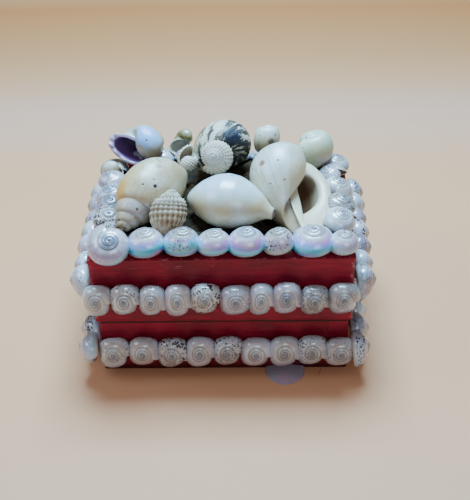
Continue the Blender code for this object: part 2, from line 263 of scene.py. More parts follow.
def paintCard(look):
    # Brushed red over card: long streaks, darker patches, pale worn paper along the edges,
    # and painted shadow: a dark band just under the lid's edge, and darker towards the foot
    p = Paint("redCard")
    place = p.place()
    x, y, z = p.parts(place)
    streak = p.noise(p.vector(x * 90, y * 90, z * 900), 1.0, 4.0, 0.6)
    patch = p.noise(place, 55.0, 4.0, 0.6)
    grain = p.noise(place, 2600.0, 2.0, 0.6)
    sideEdge = (x.size() / mm - look["halfWide"] + 1.1).size()
    frontEdge = (y.size() / mm - look["halfDeep"] + 0.9).size()
    topEdge = (z / mm - look["top"]).size()
    corner = sideEdge.most(frontEdge).ease(1.5, 0.2)
    rim = sideEdge.least(frontEdge).most(topEdge).ease(0.9, 0.1)
    broken = p.noise(place, 420.0, 5.0, 0.7).ease(0.52, 0.66)
    cracks = p.noise(p.vector(x * 260, y * 260, z * 1500), 1.0, 3.0, 0.6).ease(0.66, 0.74)
    crackBand = (z / mm - 56.6).size().ease(2.4, 0.4)
    worn = (corner.most(rim) * broken * 0.8).most(cracks * crackBand * 0.55)
    tone = p.mix(patch.ease(0.35, 0.68) * 0.5 + streak.ease(0.45, 0.7) * 0.4, look["dark"], look["red"])
    tone = p.mix(worn, tone, look["rose"])
    rough = 0.36 + patch.ease(0.3, 0.7) * 0.2 + worn * 0.2
    height = streak * 0.55 + patch * 0.6 + grain * 0.12 + worn * 0.3
    # painted shadow: a dark band on the card just under the lid's edge
    shadowUnderLid = (z / mm - look["shadowUnderLid"]).size().ease(0.8, 0.45)
    tone = p.mix(shadowUnderLid * 0.92, tone, look["shadow"])
    # painted shadow: the card darkens towards the foot, where the box meets the floor
    tone = p.mix((z / mm).ease(5.0, 1.0) * 0.8, tone, look["shadow"])
    return p.finish((height, 0.7, 0.35), Base_Color=tone, Roughness=rough + 0.06, Coat_Weight=0.06,
                    Coat_Roughness=0.35, Specular_IOR_Level=0.3)


buttonPearl = {
    "pearl": (0.58, 0.63, 0.72),
    "cream": (0.46, 0.41, 0.38),
    "lilac": (0.33, 0.27, 0.42),
    "blue": (0.17, 0.25, 0.4),
    "line": (0.06, 0.07, 0.11),
    "black": (0.006, 0.006, 0.01),
    "grey": (0.06, 0.055, 0.065),
    "inside": (0.5, 0.42, 0.36),
}


def paintButtonPearl(look):
    # coil = turn, place round the section (0 outward, 0.5 to the tip), turns back from the mouth
    # finish = inside, glow, tint; marks = blotches, scribble, seed
    p = Paint("buttonPearl")
    turn, across, back = p.mark("coil")
    inside, paintedSheen, tint = p.mark("finish")
    blotch, scribble, seed = p.mark("marks")
    place = p.place()
    cloud = p.noise(p.vector(turn * 2.2, across * 2.4, seed * 9), 1.0, 3.0, 0.6)
    growth = p.noise(p.vector(turn * 46, across * 1.6, seed * 5), 1.0, 3.0, 0.65)
    fine = p.noise(p.vector(turn * 110, across * 3.2, seed * 3), 1.0, 2.0, 0.6)
    spiral = (across * 62 + cloud * 2).sine()
    spire = back.ease(0.7, 1.5)
    tone = p.mix(cloud.ease(0.36, 0.66), look["pearl"], look["cream"])
    tone = p.mix(tint.ease(0.35, 1.0) * growth.ease(0.3, 0.75) * 0.85, tone, look["lilac"])
    tone = p.mix(tint.ease(0.75, 1.0) * spire * 0.8, tone, look["blue"])
    tone = p.mix(across.ease(-0.02, -0.22) * 0.75, tone, look["cream"])
    # the suture is darkened: partly the shell's own line, partly painted shade where one whorl meets the
    # next
    suture = across.ease(0.5, 0.585).most((across - 0.4).size().ease(0.04, 0.01) * spire)
    ring = (across - 0.49).size().ease(0.03, 0.005) * spire
    tone = p.mix((suture * 0.9).most(ring * 0.5) * (0.7 + 0.3 * cloud), tone, look["line"])
    tone = p.mix(back.ease(2.1, 3.2) * 0.5, tone, look["blue"])
    tone = p.mix(growth.ease(0.54, 0.8) * 0.42, tone, look["line"])
    tone = p.mix(spiral.ease(0.6, 1.0) * cloud.ease(0.4, 0.6) * 0.22, tone, look["line"])
    # blotches sit in rows along the coil, scribble is a broken net of fine dark lines
    spots = p.cells(p.vector(turn * 32, across * 10, seed * 7), 1.0, 0.75)
    chosen = p.noise(p.vector(turn * 6, across * 4, seed * 11), 1.0, 2.0, 0.6)
    spotMask = (spots + (0.52 - chosen) * 0.9 + (1 - blotch) * 0.25).ease(0.47, 0.39)
    belt = across.ease(-0.1, 0.06) * across.ease(0.56, 0.44)
    tone = p.mix(spotMask * belt * blotch.ease(0.0, 0.3), tone, look["black"])
    net = p.noise(p.vector(turn * 30, across * 11, seed * 2), 1.0, 3.0, 0.7, 1.4)
    netMask = (net - 0.5).size().ease(0.075, 0.025) * chosen.ease(0.28, 0.42)
    tone = p.mix(netMask * across.ease(-0.15, 0.02) * scribble.ease(0.0, 0.8), tone, look["grey"])
    # painted iridescent sheen of the mother of pearl: colours change across the shoulder of the last whorl
    drift = p.noise(p.vector(turn * 2.6, across * 1.4, seed * 17), 1.0, 2.0, 0.5)
    hue = across * 1.1 + drift * 1.1 - 0.2
    rainbow = p.ramp(hue, [(0.0, (0.16, 0.02, 0.06)), (0.12, (0.45, 0.1, 0.42)), (0.22, (0.04, 0.16, 0.62)),
                           (0.34, (0.0, 0.46, 0.6)), (0.5, (0.14, 0.56, 0.9)), (0.64, (0.26, 0.3, 0.85)),
                           (0.78, (0.55, 0.2, 0.55)), (1.0, (0.42, 0.36, 0.5))])
    shoulder = across.ease(-0.14, -0.02) * across.ease(0.52, 0.3) * back.ease(1.1, 0.7)
    patchy = p.noise(p.vector(turn * 3.4, across * 3.0, seed * 13), 1.0, 2.0, 0.5).ease(0.28, 0.5)
    tone = p.mix(shoulder * (0.35 + 0.65 * patchy) * paintedSheen * (1 - spotMask * blotch), tone, rainbow)
    tone = p.mix(inside * 0.9, tone, look["inside"])
    dust = p.noise(place, 900.0, 3.0, 0.7)
    rough = 0.24 + dust.ease(0.4, 0.75) * 0.16 + spire * 0.1 + growth * 0.08
    height = growth * 0.5 + fine * 0.22 + spiral * 0.1
    height = height - spotMask * belt * blotch * 0.35 - netMask * scribble * 0.3
    return p.finish((height, 0.4, 0.14), Base_Color=tone, Roughness=rough, Coat_Weight=1.0,
                    Coat_Roughness=0.09, Coat_IOR=1.6, Specular_IOR_Level=0.7)


def paintShell(name, look):
    # coil is as on the pearl; finish = inside, bead or cord height, share of darkening low down (partly
    # dirt, partly painted shade).
    # Base and second tones mingle in clouds, the spire and the lip have their own, growth lines cross the
    # coil, the upper side gets a painted pale-blue sky reflection, and the colour darkens low down, as dirt
    # and painted shade, and between the ribs.
    p = Paint(name)
    turn, across, back = p.mark("coil")
    inside, relief, stainAndShade = p.mark("finish")
    place = p.place()
    cloud = p.noise(place, look["cloudScale"], 4.0, 0.6)
    growth = p.noise(p.vector(turn * look["growthLines"], across * 1.5, 3.0), 1.0, 3.0, 0.65)
    grain = p.noise(place, 1500.0, 3.0, 0.65)
    tone = p.mix(cloud.ease(0.36, 0.64), look["base"], look["second"])
    tone = p.mix(back.ease(*look["spireFrom"]) * 0.85, tone, look["spire"])
    tone = p.mix(growth.ease(0.5, 0.78) * look["growthAmount"], tone, look["stainAndShade"])
    streaks = p.noise(p.vector(turn * 15, across * 2.4, 7.0), 1.0, 4.0, 0.7).ease(0.5, 0.72)
    tone = p.mix(streaks * look["streakAmount"], tone, look["worn"])
    lip = back.ease(look["lipWide"], 0.0) * (1 - inside)
    tone = p.mix(lip * (0.4 + 0.6 * cloud) * look["lipAmount"], tone, look["lip"])
    # painted sky reflection: pale blue on the side that faces up
    upward = p.parts(p.node("ShaderNodeNewGeometry", output="Normal"))[2]
    tone = p.mix(upward.ease(0.3, 1.0) * look["skyReflectionAmount"] * (0.55 + 0.6 * cloud), tone, look["skyReflection"])
    height = growth * look["growthBump"] + grain * look["grainBump"] + cloud * 0.25
    if "dark" in look:
        slanted = turn * look["darkTurns"] + across * look["darkSlant"]
        flow = p.vector(slanted, across * look["darkRows"], 1.0)
        blot = p.noise(flow, 1.0, 4.0, 0.62, 0.5)
        where = p.noise(place, 90.0, 2.0, 0.5)
        broken = p.noise(p.vector(turn * 90, across * 22, 2.0), 1.0, 3.0, 0.6)
        mask = (blot + (where - 0.5) * 0.6 + (broken - 0.5) * 0.3).ease(0.445, 0.485)
        tone = p.mix(mask * 0.95, tone, p.mix(cloud.ease(0.45, 0.6), look["dark"], look["darkBlue"]))
        height = height - mask * 0.2
    if "bands" in look:
        band = (across * look["bands"] + cloud * 1.5).sine().ease(0.5, 1.0)
        tone = p.mix(band * look["bandAmount"], tone, look["stainAndShade"])
    if "relief" in look:
        hollow = relief.ease(0.1, -0.75)
        tone = p.mix(hollow * look["relief"], tone, look["stainAndShade"])
        tone = p.mix(relief.ease(0.2, 1.0) * look["relief"] * 0.5, tone, look["crest"])
    worn = p.noise(place, 38.0, 3.0, 0.55)
    tone = p.mix(worn.ease(0.5, 0.72) * look["wornAmount"], tone, look["worn"])
    veins = (p.noise(place, 120.0, 4.0, 0.6) - 0.5).size().ease(0.02, 0.0)
    tone = p.mix(veins * worn.ease(0.4, 0.6) * look["wornAmount"] * 0.5, tone, look["stainAndShade"])
    dirt = p.noise(place, 240.0, 5.0, 0.72)
    # darker and browner low down, by the stain share: partly dirt, partly painted shade
    tone = p.mix((stainAndShade * 1.5 + dirt - 0.7).ease(0.0, 0.5) * 0.85, tone, look["stainAndShade"])
    for spot, radius, colour, amount in look["patches"]:
        centre = tuple(value * mm for value in spot)
        gap = p.node("ShaderNodeVectorMath", {"operation": "DISTANCE"}, {0: place, 1: centre}, output=1)
        near = (gap / (radius * mm) + (cloud - 0.5) * 1.2 + (dirt - 0.5) * 0.8).ease(1.0, 0.35)
        tone = p.mix(near * amount * (1 - inside), tone, colour)
    pits = p.cells(place, look["pitScale"]).ease(0.2, 0.09)
    rare = p.noise(place, look["pitScale"] * 0.37, 1.0, 0.5).ease(0.53, 0.58)
    tone = p.mix(pits * rare * 0.9, tone, look["pit"])
    height = height - pits * rare * 1.5
    # the inside darkens to near black deeper in: its own colour near the mouth, painted shade further in
    depth = p.ramp(back / look["insideLength"], look["inside"])
    tone = p.mix(inside.ease(0.3, 0.8), tone, p.mix(cloud * 0.35, depth, look["insideCloud"]))
    rough = look["rough"] + cloud.ease(0.3, 0.7) * 0.14 + (dirt - 0.5) * 0.15
    return p.finish((height, look["bump"], 0.3), Base_Color=tone, Roughness=rough,
                    Coat_Weight=look["coat"], Coat_Roughness=0.26, Specular_IOR_Level=look["gloss"])


shellLook = {
    "base": (0.62, 0.6, 0.52), "second": (0.5, 0.4, 0.24), "cloudScale": 90.0,
    "spire": (0.56, 0.56, 0.56), "spireFrom": (1.0, 1.9),
    "growthLines": 40.0, "growthAmount": 0.32, "growthBump": 0.6, "grainBump": 0.15,
    "lip": (0.72, 0.64, 0.46), "lipWide": 0.12, "lipAmount": 0.8,
    "stainAndShade": (0.24, 0.16, 0.085), "pit": (0.03, 0.02, 0.015), "pitScale": 330.0,
    "worn": (0.5, 0.36, 0.18), "wornAmount": 0.5,
    # painted sky reflection: pale blue on the side that faces up
    "skyReflection": (0.38, 0.63, 0.93), "skyReflectionAmount": 0.46,     # the pale side that faces up
    "streakAmount": 0.4,
    # inside tones from the mouth inward: the dark end is painted shade
    "inside": [(0.0, (0.66, 0.58, 0.42)), (0.35, (0.4, 0.3, 0.22)), (1.0, (0.05, 0.03, 0.025))],
    "insideLength": 0.8, "insideCloud": (0.36, 0.28, 0.24),
    "rough": 0.34, "coat": 0.35, "gloss": 0.5, "bump": 0.5,
    "patches": (),      # each: middle in mm, radius in mm, tone, amount
}


def shellPaint(name, changes):
    # A shell material from the shared look and one shell's own changes to it
    return paintShell(name, {**shellLook, **changes})


# glue tones, all kept dark as painted shadow in the gaps between the shells
setGlue = {
    "brown": (0.045, 0.028, 0.016),
    "dark": (0.012, 0.008, 0.006),
    "amber": (0.09, 0.06, 0.035),
}


def paintGlue(look):
    # Set glue, painted dark as the shadow in the gaps between the shells, with painted shade in the hollows
    # of its bumps; amber higher up and on the bump tops, with crumbs
    p = Paint("setGlue")
    place = p.place()
    x, y, z = p.parts(place)
    lumps = p.noise(place, 210.0, 5.0, 0.65)
    crumbs = p.cells(place, 1300.0).ease(0.5, 0.1)
    high = (z / mm).ease(61.0, 67.0)
    # painted shade: darkest in the hollows of the bump pattern
    tone = p.mix(lumps.ease(0.35, 0.6), look["dark"], look["brown"])
    tone = p.mix((high * 0.6 + lumps * 0.7).ease(0.55, 1.0), tone, look["amber"])
    return p.finish((lumps + crumbs * 0.25, 0.8, 0.8), Base_Color=tone,
                    Roughness=0.7 + lumps.ease(0.35, 0.7) * 0.2, Specular_IOR_Level=0.1)


cardRed = paintCard(redCard)
pearl = paintButtonPearl(buttonPearl)
glueBrown = paintGlue(setGlue)
print("box, pearl and glue materials made")


def rectangleLoop(halfWide, halfDeep, radius, sides=(56, 42), arc=5):
    # Once round a rectangle whose corners are quarter circles, anticlockwise from the right
    parts = []
    for corner in range(4):
        signX = 1 if corner in (0, 3) else -1
        signY = 1 if corner < 2 else -1
        angle = math.radians(90) * (corner + np.linspace(0, 1, arc))
        x = signX * (halfWide - radius) + radius * np.cos(angle)
        y = signY * (halfDeep - radius) + radius * np.sin(angle)
        parts.append(np.stack([x, y], axis=-1))
        nextX = signX if corner in (1, 3) else -signX
        nextY = signY if corner in (0, 2) else -signY
        turned = math.radians(90) * (corner + 1)
        start = parts[-1][-1]
        end = np.array([nextX * (halfWide - radius) + radius * math.cos(turned),
                        nextY * (halfDeep - radius) + radius * math.sin(turned)])
        share = np.linspace(0, 1, sides[corner % 2] + 2)[1:-1, None]
        parts.append(start + (end - start) * share)
    return np.concatenate(parts)


def loftBox(steps, wave, seed):
    # A box shell: each step is (half width, half depth, z, corner radius, share of the waviness).
    # Outer faces wander in and out a little, as hand-covered card does.
    loops = []
    for halfWide, halfDeep, z, radius, share in steps:
        flat = rectangleLoop(halfWide, halfDeep, radius)
        loop = np.column_stack([flat, np.full(len(flat), z)])
        outward = flat / np.maximum(np.linalg.norm(flat, axis=1, keepdims=True), 1)
        push = ripple(loop, 26, seed) * 0.6 + ripple(loop * (1, 1, 2.2), 9, seed + 1) * 0.4
        loop[:, :2] += outward * ((push - 1) * wave * share)[:, None]
        loops.append(loop)
    return skinLoops(np.array(loops))


def between(first, last, count):
    # Steps from first up to, and without, last
    share = np.arange(count)[:, None] / count
    return [tuple(row) for row in np.array(first) * (1 - share) + np.array(last) * share]


lidBox = {
    "halfWide": 55.0, "halfDeep": 41.0, "top": 60.0, "board": 2.0, "proud": 0.5,
    "edge": 27.8, "wall": 1.1, "corner": 1.2, "wave": 0.14,
}


def makeLid(v):
    # Steps from the middle of the top board out over its rim, down the wall, and back up inside
    w, d, c = v["halfWide"], v["halfDeep"], v["corner"]
    wallW, wallD = w - v["proud"], d - v["proud"]
    inW, inD = wallW - v["wall"], wallD - v["wall"]
    under = v["top"] - v["board"]
    steps = between((2, 2 * d / w, v["top"], 0.1, 0), (w - 0.35, d - 0.35, v["top"], c, 0.4), 10)
    steps += [(w - 0.35, d - 0.35, v["top"], c, 0.4), (w - 0.1, d - 0.1, v["top"] - 0.1, c, 1),
              (w, d, v["top"] - 0.4, c, 1)]
    steps += [(w, d, v["top"] - 1.0, c, 1), (w, d, under + 0.3, c, 1),
              (w - 0.1, d - 0.1, under + 0.05, c, 1), (wallW, wallD, under - 0.1, c, 1)]
    steps += between((wallW, wallD, under - 0.5, c, 1), (wallW, wallD, v["edge"] + 0.2, c, 1), 22)
    steps += [(wallW, wallD, v["edge"] + 0.2, c, 1), (wallW - 0.15, wallD - 0.15, v["edge"], c, 0.7),
              (inW + 0.15, inD + 0.15, v["edge"], 0.8, 0), (inW, inD, v["edge"] + 0.2, 0.7, 0)]
    steps += between((inW, inD, v["edge"] + 1, 0.7, 0), (inW, inD, under, 0.7, 0), 6)
    steps += between((inW, inD, under, 0.7, 0), (2, 2 * d / w, under, 0.1, 0), 8)
    return loftBox(steps, v["wave"], 5)


trayBox = {
    "halfWide": 53.1, "halfDeep": 39.1, "top": 57.7, "wall": 1.5, "floor": 2.0, "corner": 1.2, "wave": 0.12,
}


def makeTray(v):
    # Steps from the middle of the underside up the wall, over the rim, and down to the floor inside
    w, d, c = v["halfWide"], v["halfDeep"], v["corner"]
    inW, inD = w - v["wall"], d - v["wall"]
    steps = between((2, 2 * d / w, 0, 0.1, 0), (w - 0.3, d - 0.3, 0, c, 0.5), 8)
    steps += [(w - 0.3, d - 0.3, 0, c, 0.5), (w, d, 0.3, c, 1)]
    steps += between((w, d, 1.0, c, 1), (w, d, v["top"] - 0.2, c, 1), 28)
    steps += [(w, d, v["top"] - 0.2, c, 1), (w - 0.2, d - 0.2, v["top"], c, 0.5),
              (inW + 0.2, inD + 0.2, v["top"], 0.8, 0), (inW, inD, v["top"] - 0.2, 0.7, 0)]
    steps += between((inW, inD, v["top"] - 2, 0.7, 0), (inW, inD, v["floor"], 0.7, 0), 6)
    steps += between((inW, inD, v["floor"], 0.7, 0), (2, 2 * d / w, v["floor"], 0.1, 0), 8)
    return loftBox(steps, v["wave"], 8)


makePiece("lid_card", makeLid(lidBox), cardRed, ["lid"], sharp=38)
makePiece("tray_card", makeTray(trayBox), cardRed, ["tray"], sharp=38)
print("box made")


coilShape = {
    "turns": 3.6, "perTurn": 20, "around": 14,
    "growth": 1.6,      # how much the shell grows in one turn
    "slow": 0.25,       # 0 to 1: how much the last turn holds back
    "centre": 0.56, "half": 0.44,       # the section's middle and half width, of the radius
    "depth": 0.62, "top": 0.36, "bottom": 0.3,     # and of the length, from the tip
    "shear": 0.0,       # how far the section droops outward
    "canal": 0.0, "canalPower": 1.6, "canalCentre": 0.15, "canalHalf": 0.14,
    "square": 1.0,      # under 1 the section gets squarer
    "flare": 0.0, "flareLength": 0.1,
    "wall": 0.12, "jag": 0.0, "jagWave": 5, "slant": 0.0,
    "cords": 0, "cordHeight": 0.0, "ribs": 0, "ribHeight": 0.0, "lumps": 0.0,
    "seed": 1,
}

# turns back from the mouth, and the wall's share of its thickness, round the rim and into the shell
lipSteps = ((-0.006, 0.15), (-0.01, 0.5), (-0.006, 0.85), (0.004, 1.0), (0.025, 0.92), (0.06, 0.75),
            (0.11, 0.62), (0.18, 0.55), (0.25, 0.55), (0.33, 0.55), (0.42, 0.6), (0.52, 0.65), (0.62, 0.7),
            (0.72, 0.8), (0.8, 1.0), (0.86, 1.6))


def coilShell(v):
    # A shell wound round +Z with its tip up. At turn t the egg-shaped section has the size
    # growth ** (t - turns); it is carried round the axis, away from the tip, clockwise seen from the tip.
    # After the mouth the same section comes back inside, a wall's thickness smaller.
    # Returned as rows of loops: radius and height run to 1 at the mouth.
    outerTurn = np.linspace(0, v["turns"], int(v["turns"] * v["perTurn"]) + 1)
    innerBack = np.array([step[0] for step in lipSteps])
    innerWall = np.array([step[1] for step in lipSteps])
    turn = np.concatenate([outerTurn, v["turns"] - innerBack])[:, None]
    isInner = np.concatenate([np.zeros(len(outerTurn)), np.ones(len(innerBack))])[:, None]
    shrink = np.concatenate([np.ones(len(outerTurn)), 1 - v["wall"] * innerWall])[:, None]
    start = np.clip(turn / 0.25, 0, 1)
    shrink = shrink * np.sqrt(start * (2 - start) + 1e-4)
    angle = -math.pi + 2 * math.pi * (np.arange(v["around"]) + 0.5)[None, :] / v["around"]
    cos, sin = np.cos(angle), np.sin(angle)
    cosWide = np.sign(cos) * np.abs(cos) ** v["square"]
    sinTall = np.sign(sin) * np.abs(sin) ** v["square"]
    chips = np.sin(v["jagWave"] * angle) + np.sin(2.3 * v["jagWave"] * angle + 1)
    edge = v["slant"] * sin + v["jag"] * chips
    turn = turn + edge * smooth(turn, v["turns"] - 0.3, v["turns"])
    back = v["turns"] - turn
    size = np.exp(-math.log(v["growth"]) * (back - v["slow"] * (1 - np.exp(-np.maximum(back, 0)))))
    cord = np.cos(v["cords"] * angle) if v["cords"] else np.zeros_like(angle)
    rib = np.cos(2 * math.pi * v["ribs"] * turn) if v["ribs"] else np.zeros_like(turn)
    outside = (1 - isInner) * smooth(turn, 0.2, 0.9)
    relief = cord * v["cordHeight"] + rib * v["ribHeight"]
    if v["cords"] and v["ribs"]:
        relief = relief + np.maximum(cord, 0) * np.maximum(rib, 0) * (v["cordHeight"] + v["ribHeight"])
    swell = 1 + relief * outside
    if v["lumps"]:
        waved = np.stack(np.broadcast_arrays(turn * 5.0, cos * 1.6, sin * 1.6), axis=-1)
        swell = swell + v["lumps"] * ripple(waved, 2.2, v["seed"]) * (1 - isInner)
    nearMouth = np.exp(-(np.maximum(back, 0) / v["flareLength"]) ** 1.5)
    flare = 1 + v["flare"] * nearMouth * np.maximum(cos, 0) ** 0.6
    across = v["half"] * cosWide * shrink * swell * flare
    radial = v["centre"] * smooth(turn, 0.0, 1.5) + across
    tall = np.where(sin > 0, v["top"], v["bottom"])
    depth = v["depth"] - tall * sinTall * shrink * swell + v["shear"] * across
    if v["canal"]:
        drawn = v["canal"] * np.clip(-sin, 0, 1) ** v["canalPower"]
        radial = radial * (1 - drawn) + drawn * (v["canalCentre"] + v["canalHalf"] * cos * shrink)
    place = 2 * math.pi * back
    points = np.stack(np.broadcast_arrays(size * radial * np.cos(place), size * radial * np.sin(place),
                                          1 - size * depth), axis=-1)
    amount = max(v["cordHeight"] + v["ribHeight"], 1e-6)
    coil = np.stack(np.broadcast_arrays(turn, angle / math.pi, back), axis=-1)
    return {"points": points, "coil": coil, "inside": isInner + 0 * coil[..., 0],
            "relief": np.broadcast_to(relief / amount * (1 - isInner), coil.shape[:2])}


def turnTo(points, tip, face):
    # Local +Z to the tip; the mouth opens towards face
    up = np.array(tip, float) / np.linalg.norm(tip)
    side = np.cross(up, face)
    side /= np.linalg.norm(side)
    return points @ np.array([side, np.cross(up, side), up])


buttonCoil = {**coilShape, "wall": 0.14, "slant": 0.05, "shear": 0.45, "bottom": 0.36,
              "boxy": 0.5}      # how far its outline, seen from the tip, is from round


def buttonLoops(spin, v):
    # A button top shell, filled out to x and y from -0.5 to 0.5 and z from 0 to 1
    shell = coilShell(v)
    points = shell["points"].copy()
    turnBy = math.radians(spin)
    x = points[..., 0] * math.cos(turnBy) - points[..., 1] * math.sin(turnBy)
    y = points[..., 0] * math.sin(turnBy) + points[..., 1] * math.cos(turnBy)
    points = np.stack([x, y, points[..., 2]], axis=-1)
    low = points.reshape(-1, 3).min(0)
    high = points.reshape(-1, 3).max(0)
    points = (points - low) / (high - low) - (0.5, 0.5, 0)
    x, y = points[..., 0], points[..., 1]
    swell = 1 + 4 * v["boxy"] * x ** 2 * y ** 2 / np.maximum(x ** 2 + y ** 2, 1e-4)
    points[..., :2] *= swell[..., None]
    return {**shell, "points": points}


def buttonSkin(place, along, out, size, look, spin, seed, rise=0.0, **changes):
    # place: the middle of its base; along and out: its own x and z; size: width, tall, height;
    # rise: how far the tip is carried towards its own y
    blotch, scribble, paintedSheen, tint = look
    own = {"depth": 0.62 + 0.02 * math.sin(seed * 5.1), "growth": 1.62 + 0.06 * math.sin(seed * 2.7)}
    shell = buttonLoops(spin, {**buttonCoil, **own, **changes})
    shell["points"][..., 1] += rise * shell["points"][..., 2]
    along = np.array(along, float) / np.linalg.norm(along)
    out = np.array(out, float) / np.linalg.norm(out)
    along -= out * (along @ out)
    along /= np.linalg.norm(along)
    axes = np.array([along, np.cross(out, along), out])
    points = shell["points"] * np.array(size) @ axes + np.array(place)
    level = shell["inside"]
    ones = np.ones_like(level)
    # painted sheen is made stronger on the side that faces the front
    ahead = (points[..., 1].mean() - points[..., 1]) / size[0]
    paintedSheen = paintedSheen * (0.25 + 0.75 * smooth(ahead, -0.1, 0.25))
    marks = {"coil": shell["coil"], "finish": np.stack([level, paintedSheen, ones * tint], axis=-1),
             "marks": np.stack([ones * blotch, ones * scribble, ones * (seed * 0.37 % 3)], axis=-1)}
    return skinLoops(points, marks)


lidFront = {
    # middle x, width, then blotches, scribble, glow, tint
    "shells": ((-51.2, 12.0, 0.0, 0.0, 0.2, 0.2), (-39.3, 12.0, 0.25, 0.0, 0.15, 0.4),
               (-28.4, 10.7, 0.12, 0.15, 0.1, 0.6), (-17.6, 11.2, 0.0, 0.0, 0.35, 0.5),
               (-6.3, 12.4, 1.0, 0.1, 0.1, 0.1), (6.3, 13.2, 0.2, 0.25, 0.2, 0.8),
               (16.7, 10.3, 0.0, 0.0, 0.4, 0.6), (27.1, 11.6, 0.0, 0.0, 0.15, 0.95),
               (38.6, 11.6, 0.0, 1.0, 0.05, 0.2), (50.3, 12.4, 0.1, 0.4, 0.1, 0.7)),
    "wallY": -40.5, "z": 40.3, "tall": 15.8, "height": 9.7, "spin": 4.0, "rise": 0.32,
}

trayFront = {
    "shells": ((-46.6, 13.0, 0.2, 0.1, 0.1, 0.3), (-34.0, 12.6, 0.0, 0.0, 0.2, 0.5),
               (-21.6, 12.8, 0.7, 0.2, 0.1, 0.3), (-9.7, 12.4, 0.0, 0.0, 0.25, 0.6),
               (2.0, 12.2, 1.0, 0.3, 0.1, 0.2), (14.3, 13.2, 0.0, 0.0, 0.25, 0.5),
               (26.4, 12.8, 0.0, 0.1, 0.3, 0.4), (38.1, 12.6, 0.3, 0.35, 0.05, 0.3),
               (50.2, 13.4, 0.35, 0.3, 0.05, 0.5)),
    "wallY": -39.1, "z": 11.0, "tall": 16.0, "height": 9.7, "spin": 4.0, "rise": 0.32,
}


def frontRow(v, firstSeed):
    # Button shells side by side on the front wall, each tilted a little its own way
    skins = []
    for number, (x, width, blotch, scribble, paintedSheen, tint) in enumerate(v["shells"]):
        look = (blotch, scribble, paintedSheen + 0.1, tint)
        seed = firstSeed + number
        lean = 0.06 * math.sin(seed * 3.3)
        tall = v["tall"] * (0.96 + 0.04 * math.sin(seed * 1.9))
        size = (width * 1.1, tall, v["height"] * (0.98 + 0.02 * math.sin(seed * 4.4)))
        lift = 0.5 * math.sin(seed * 2.2)
        skins.append(buttonSkin((x, v["wallY"] - 0.1, v["z"] + lift), (1, 0, lean), (0.5 * lean, -1, 0.02),
                                size, look, v["spin"] + 14 * math.sin(seed * 1.3), seed, rise=v["rise"]))
    return skins


for number, skin in enumerate(frontRow(lidFront, 11), 1):
    makePiece(f"lid_front_button_{number}", skin, pearl, [f"lid_front_shell_{number}"])
trayFrontSkin = joinSkins(frontRow(trayFront, 31))
makePiece("tray_front_buttons", trayFrontSkin, pearl, ["tray_front_row"])

wallRows = {
    # node: side faced, distance out, z, shells, pitch, shift along, first seed
    "lid_left_row": ((-1, 0), 54.5, 41.0, 7, 11.2, 0.0, 51),
    "lid_right_row": ((1, 0), 54.5, 41.0, 7, 11.2, 0.0, 61),
    "lid_back_row": ((0, 1), 40.5, 41.0, 10, 11.2, 0.0, 71),
    "tray_left_row": ((-1, 0), 53.1, 12.2, 8, 11.5, 2.0, 91),
    "tray_right_row": ((1, 0), 53.1, 12.2, 8, 11.5, -2.0, 101),
    "tray_back_row": ((0, 1), 39.1, 12.2, 9, 11.5, 0.0, 111),
}


wallShells = {"overlap": 1.18, "tall": 14.6, "height": 9.6, "rise": 0.25, "lift": 1.0, "spin": 4}


def wallRow(v, side, out, z, count, pitch, shift, firstSeed):
    # Button shells at even steps along a wall, centred on it; sines of the seed vary size, lean and look
    outward = np.array([*side, 0], float)
    sideways = np.array([-side[1], side[0], 0], float)
    skins = []
    for number in range(count):
        seed = firstSeed + number
        wave = math.sin(seed * 2.1)
        look = (max(0, math.sin(seed * 1.7)) ** 2 * 0.9, max(0, math.sin(seed * 2.9 + 1)) ** 2 * 0.8,
                0.12 + 0.15 * abs(wave), 0.55 + 0.4 * math.sin(seed * 3.7))
        along = (number - (count - 1) / 2) * pitch + shift
        place = sideways * along + outward * (out + 0.1) + (0, 0, z + v["lift"] + 0.5 * wave)
        size = (pitch * (v["overlap"] + 0.05 * wave), v["tall"] * (1 + 0.03 * wave),
                v["height"] + 0.15 * wave)
        lean = sideways + np.array([0, 0, 0.08 * wave])
        skins.append(buttonSkin(place, lean, outward + sideways * 0.06 * math.sin(seed * 4.1), size, look,
                                v["spin"] + 16 * math.sin(seed * 1.1), seed, rise=v["rise"]))
    return joinSkins(skins)


for node, row in wallRows.items():
    makePiece(node.replace("_row", "_buttons"), wallRow(wallShells, *row), pearl, [node])
print("rows of button shells made")

borderFront = {
    # x, y, width, height, lean to the front and to the right in degrees, then blotches, scribble, glow, tint
    "shells": ((-45.6, -36.6, 17.4, 10.0, 34, 4, 0.0, 0.0, 0.45, 1.0),
               (-30.7, -34.6, 16.2, 11.0, 4, 0, 0.0, 0.0, 1.00, 0.5),
               (-16.3, -34.6, 15.6, 11.4, 3, 4, 0.35, 0.5, 1.00, 0.6),
               (-2.9, -34.8, 14.6, 10.4, 5, 0, 0.0, 0.15, 0.95, 0.5),
               (10.3, -34.8, 15.8, 11.2, 6, 0, 0.0, 0.0, 1.00, 0.9),
               (23.6, -35.4, 13.4, 11.6, 2, -4, 0.5, 0.3, 0.3, 0.3),
               (37.4, -34.2, 17.6, 10.6, 5, 0, 0.0, 0.0, 1.00, 0.8),
               (49.8, -35.4, 12.4, 9.4, 6, 0, 0.0, 0.1, 0.4, 0.8)),
}

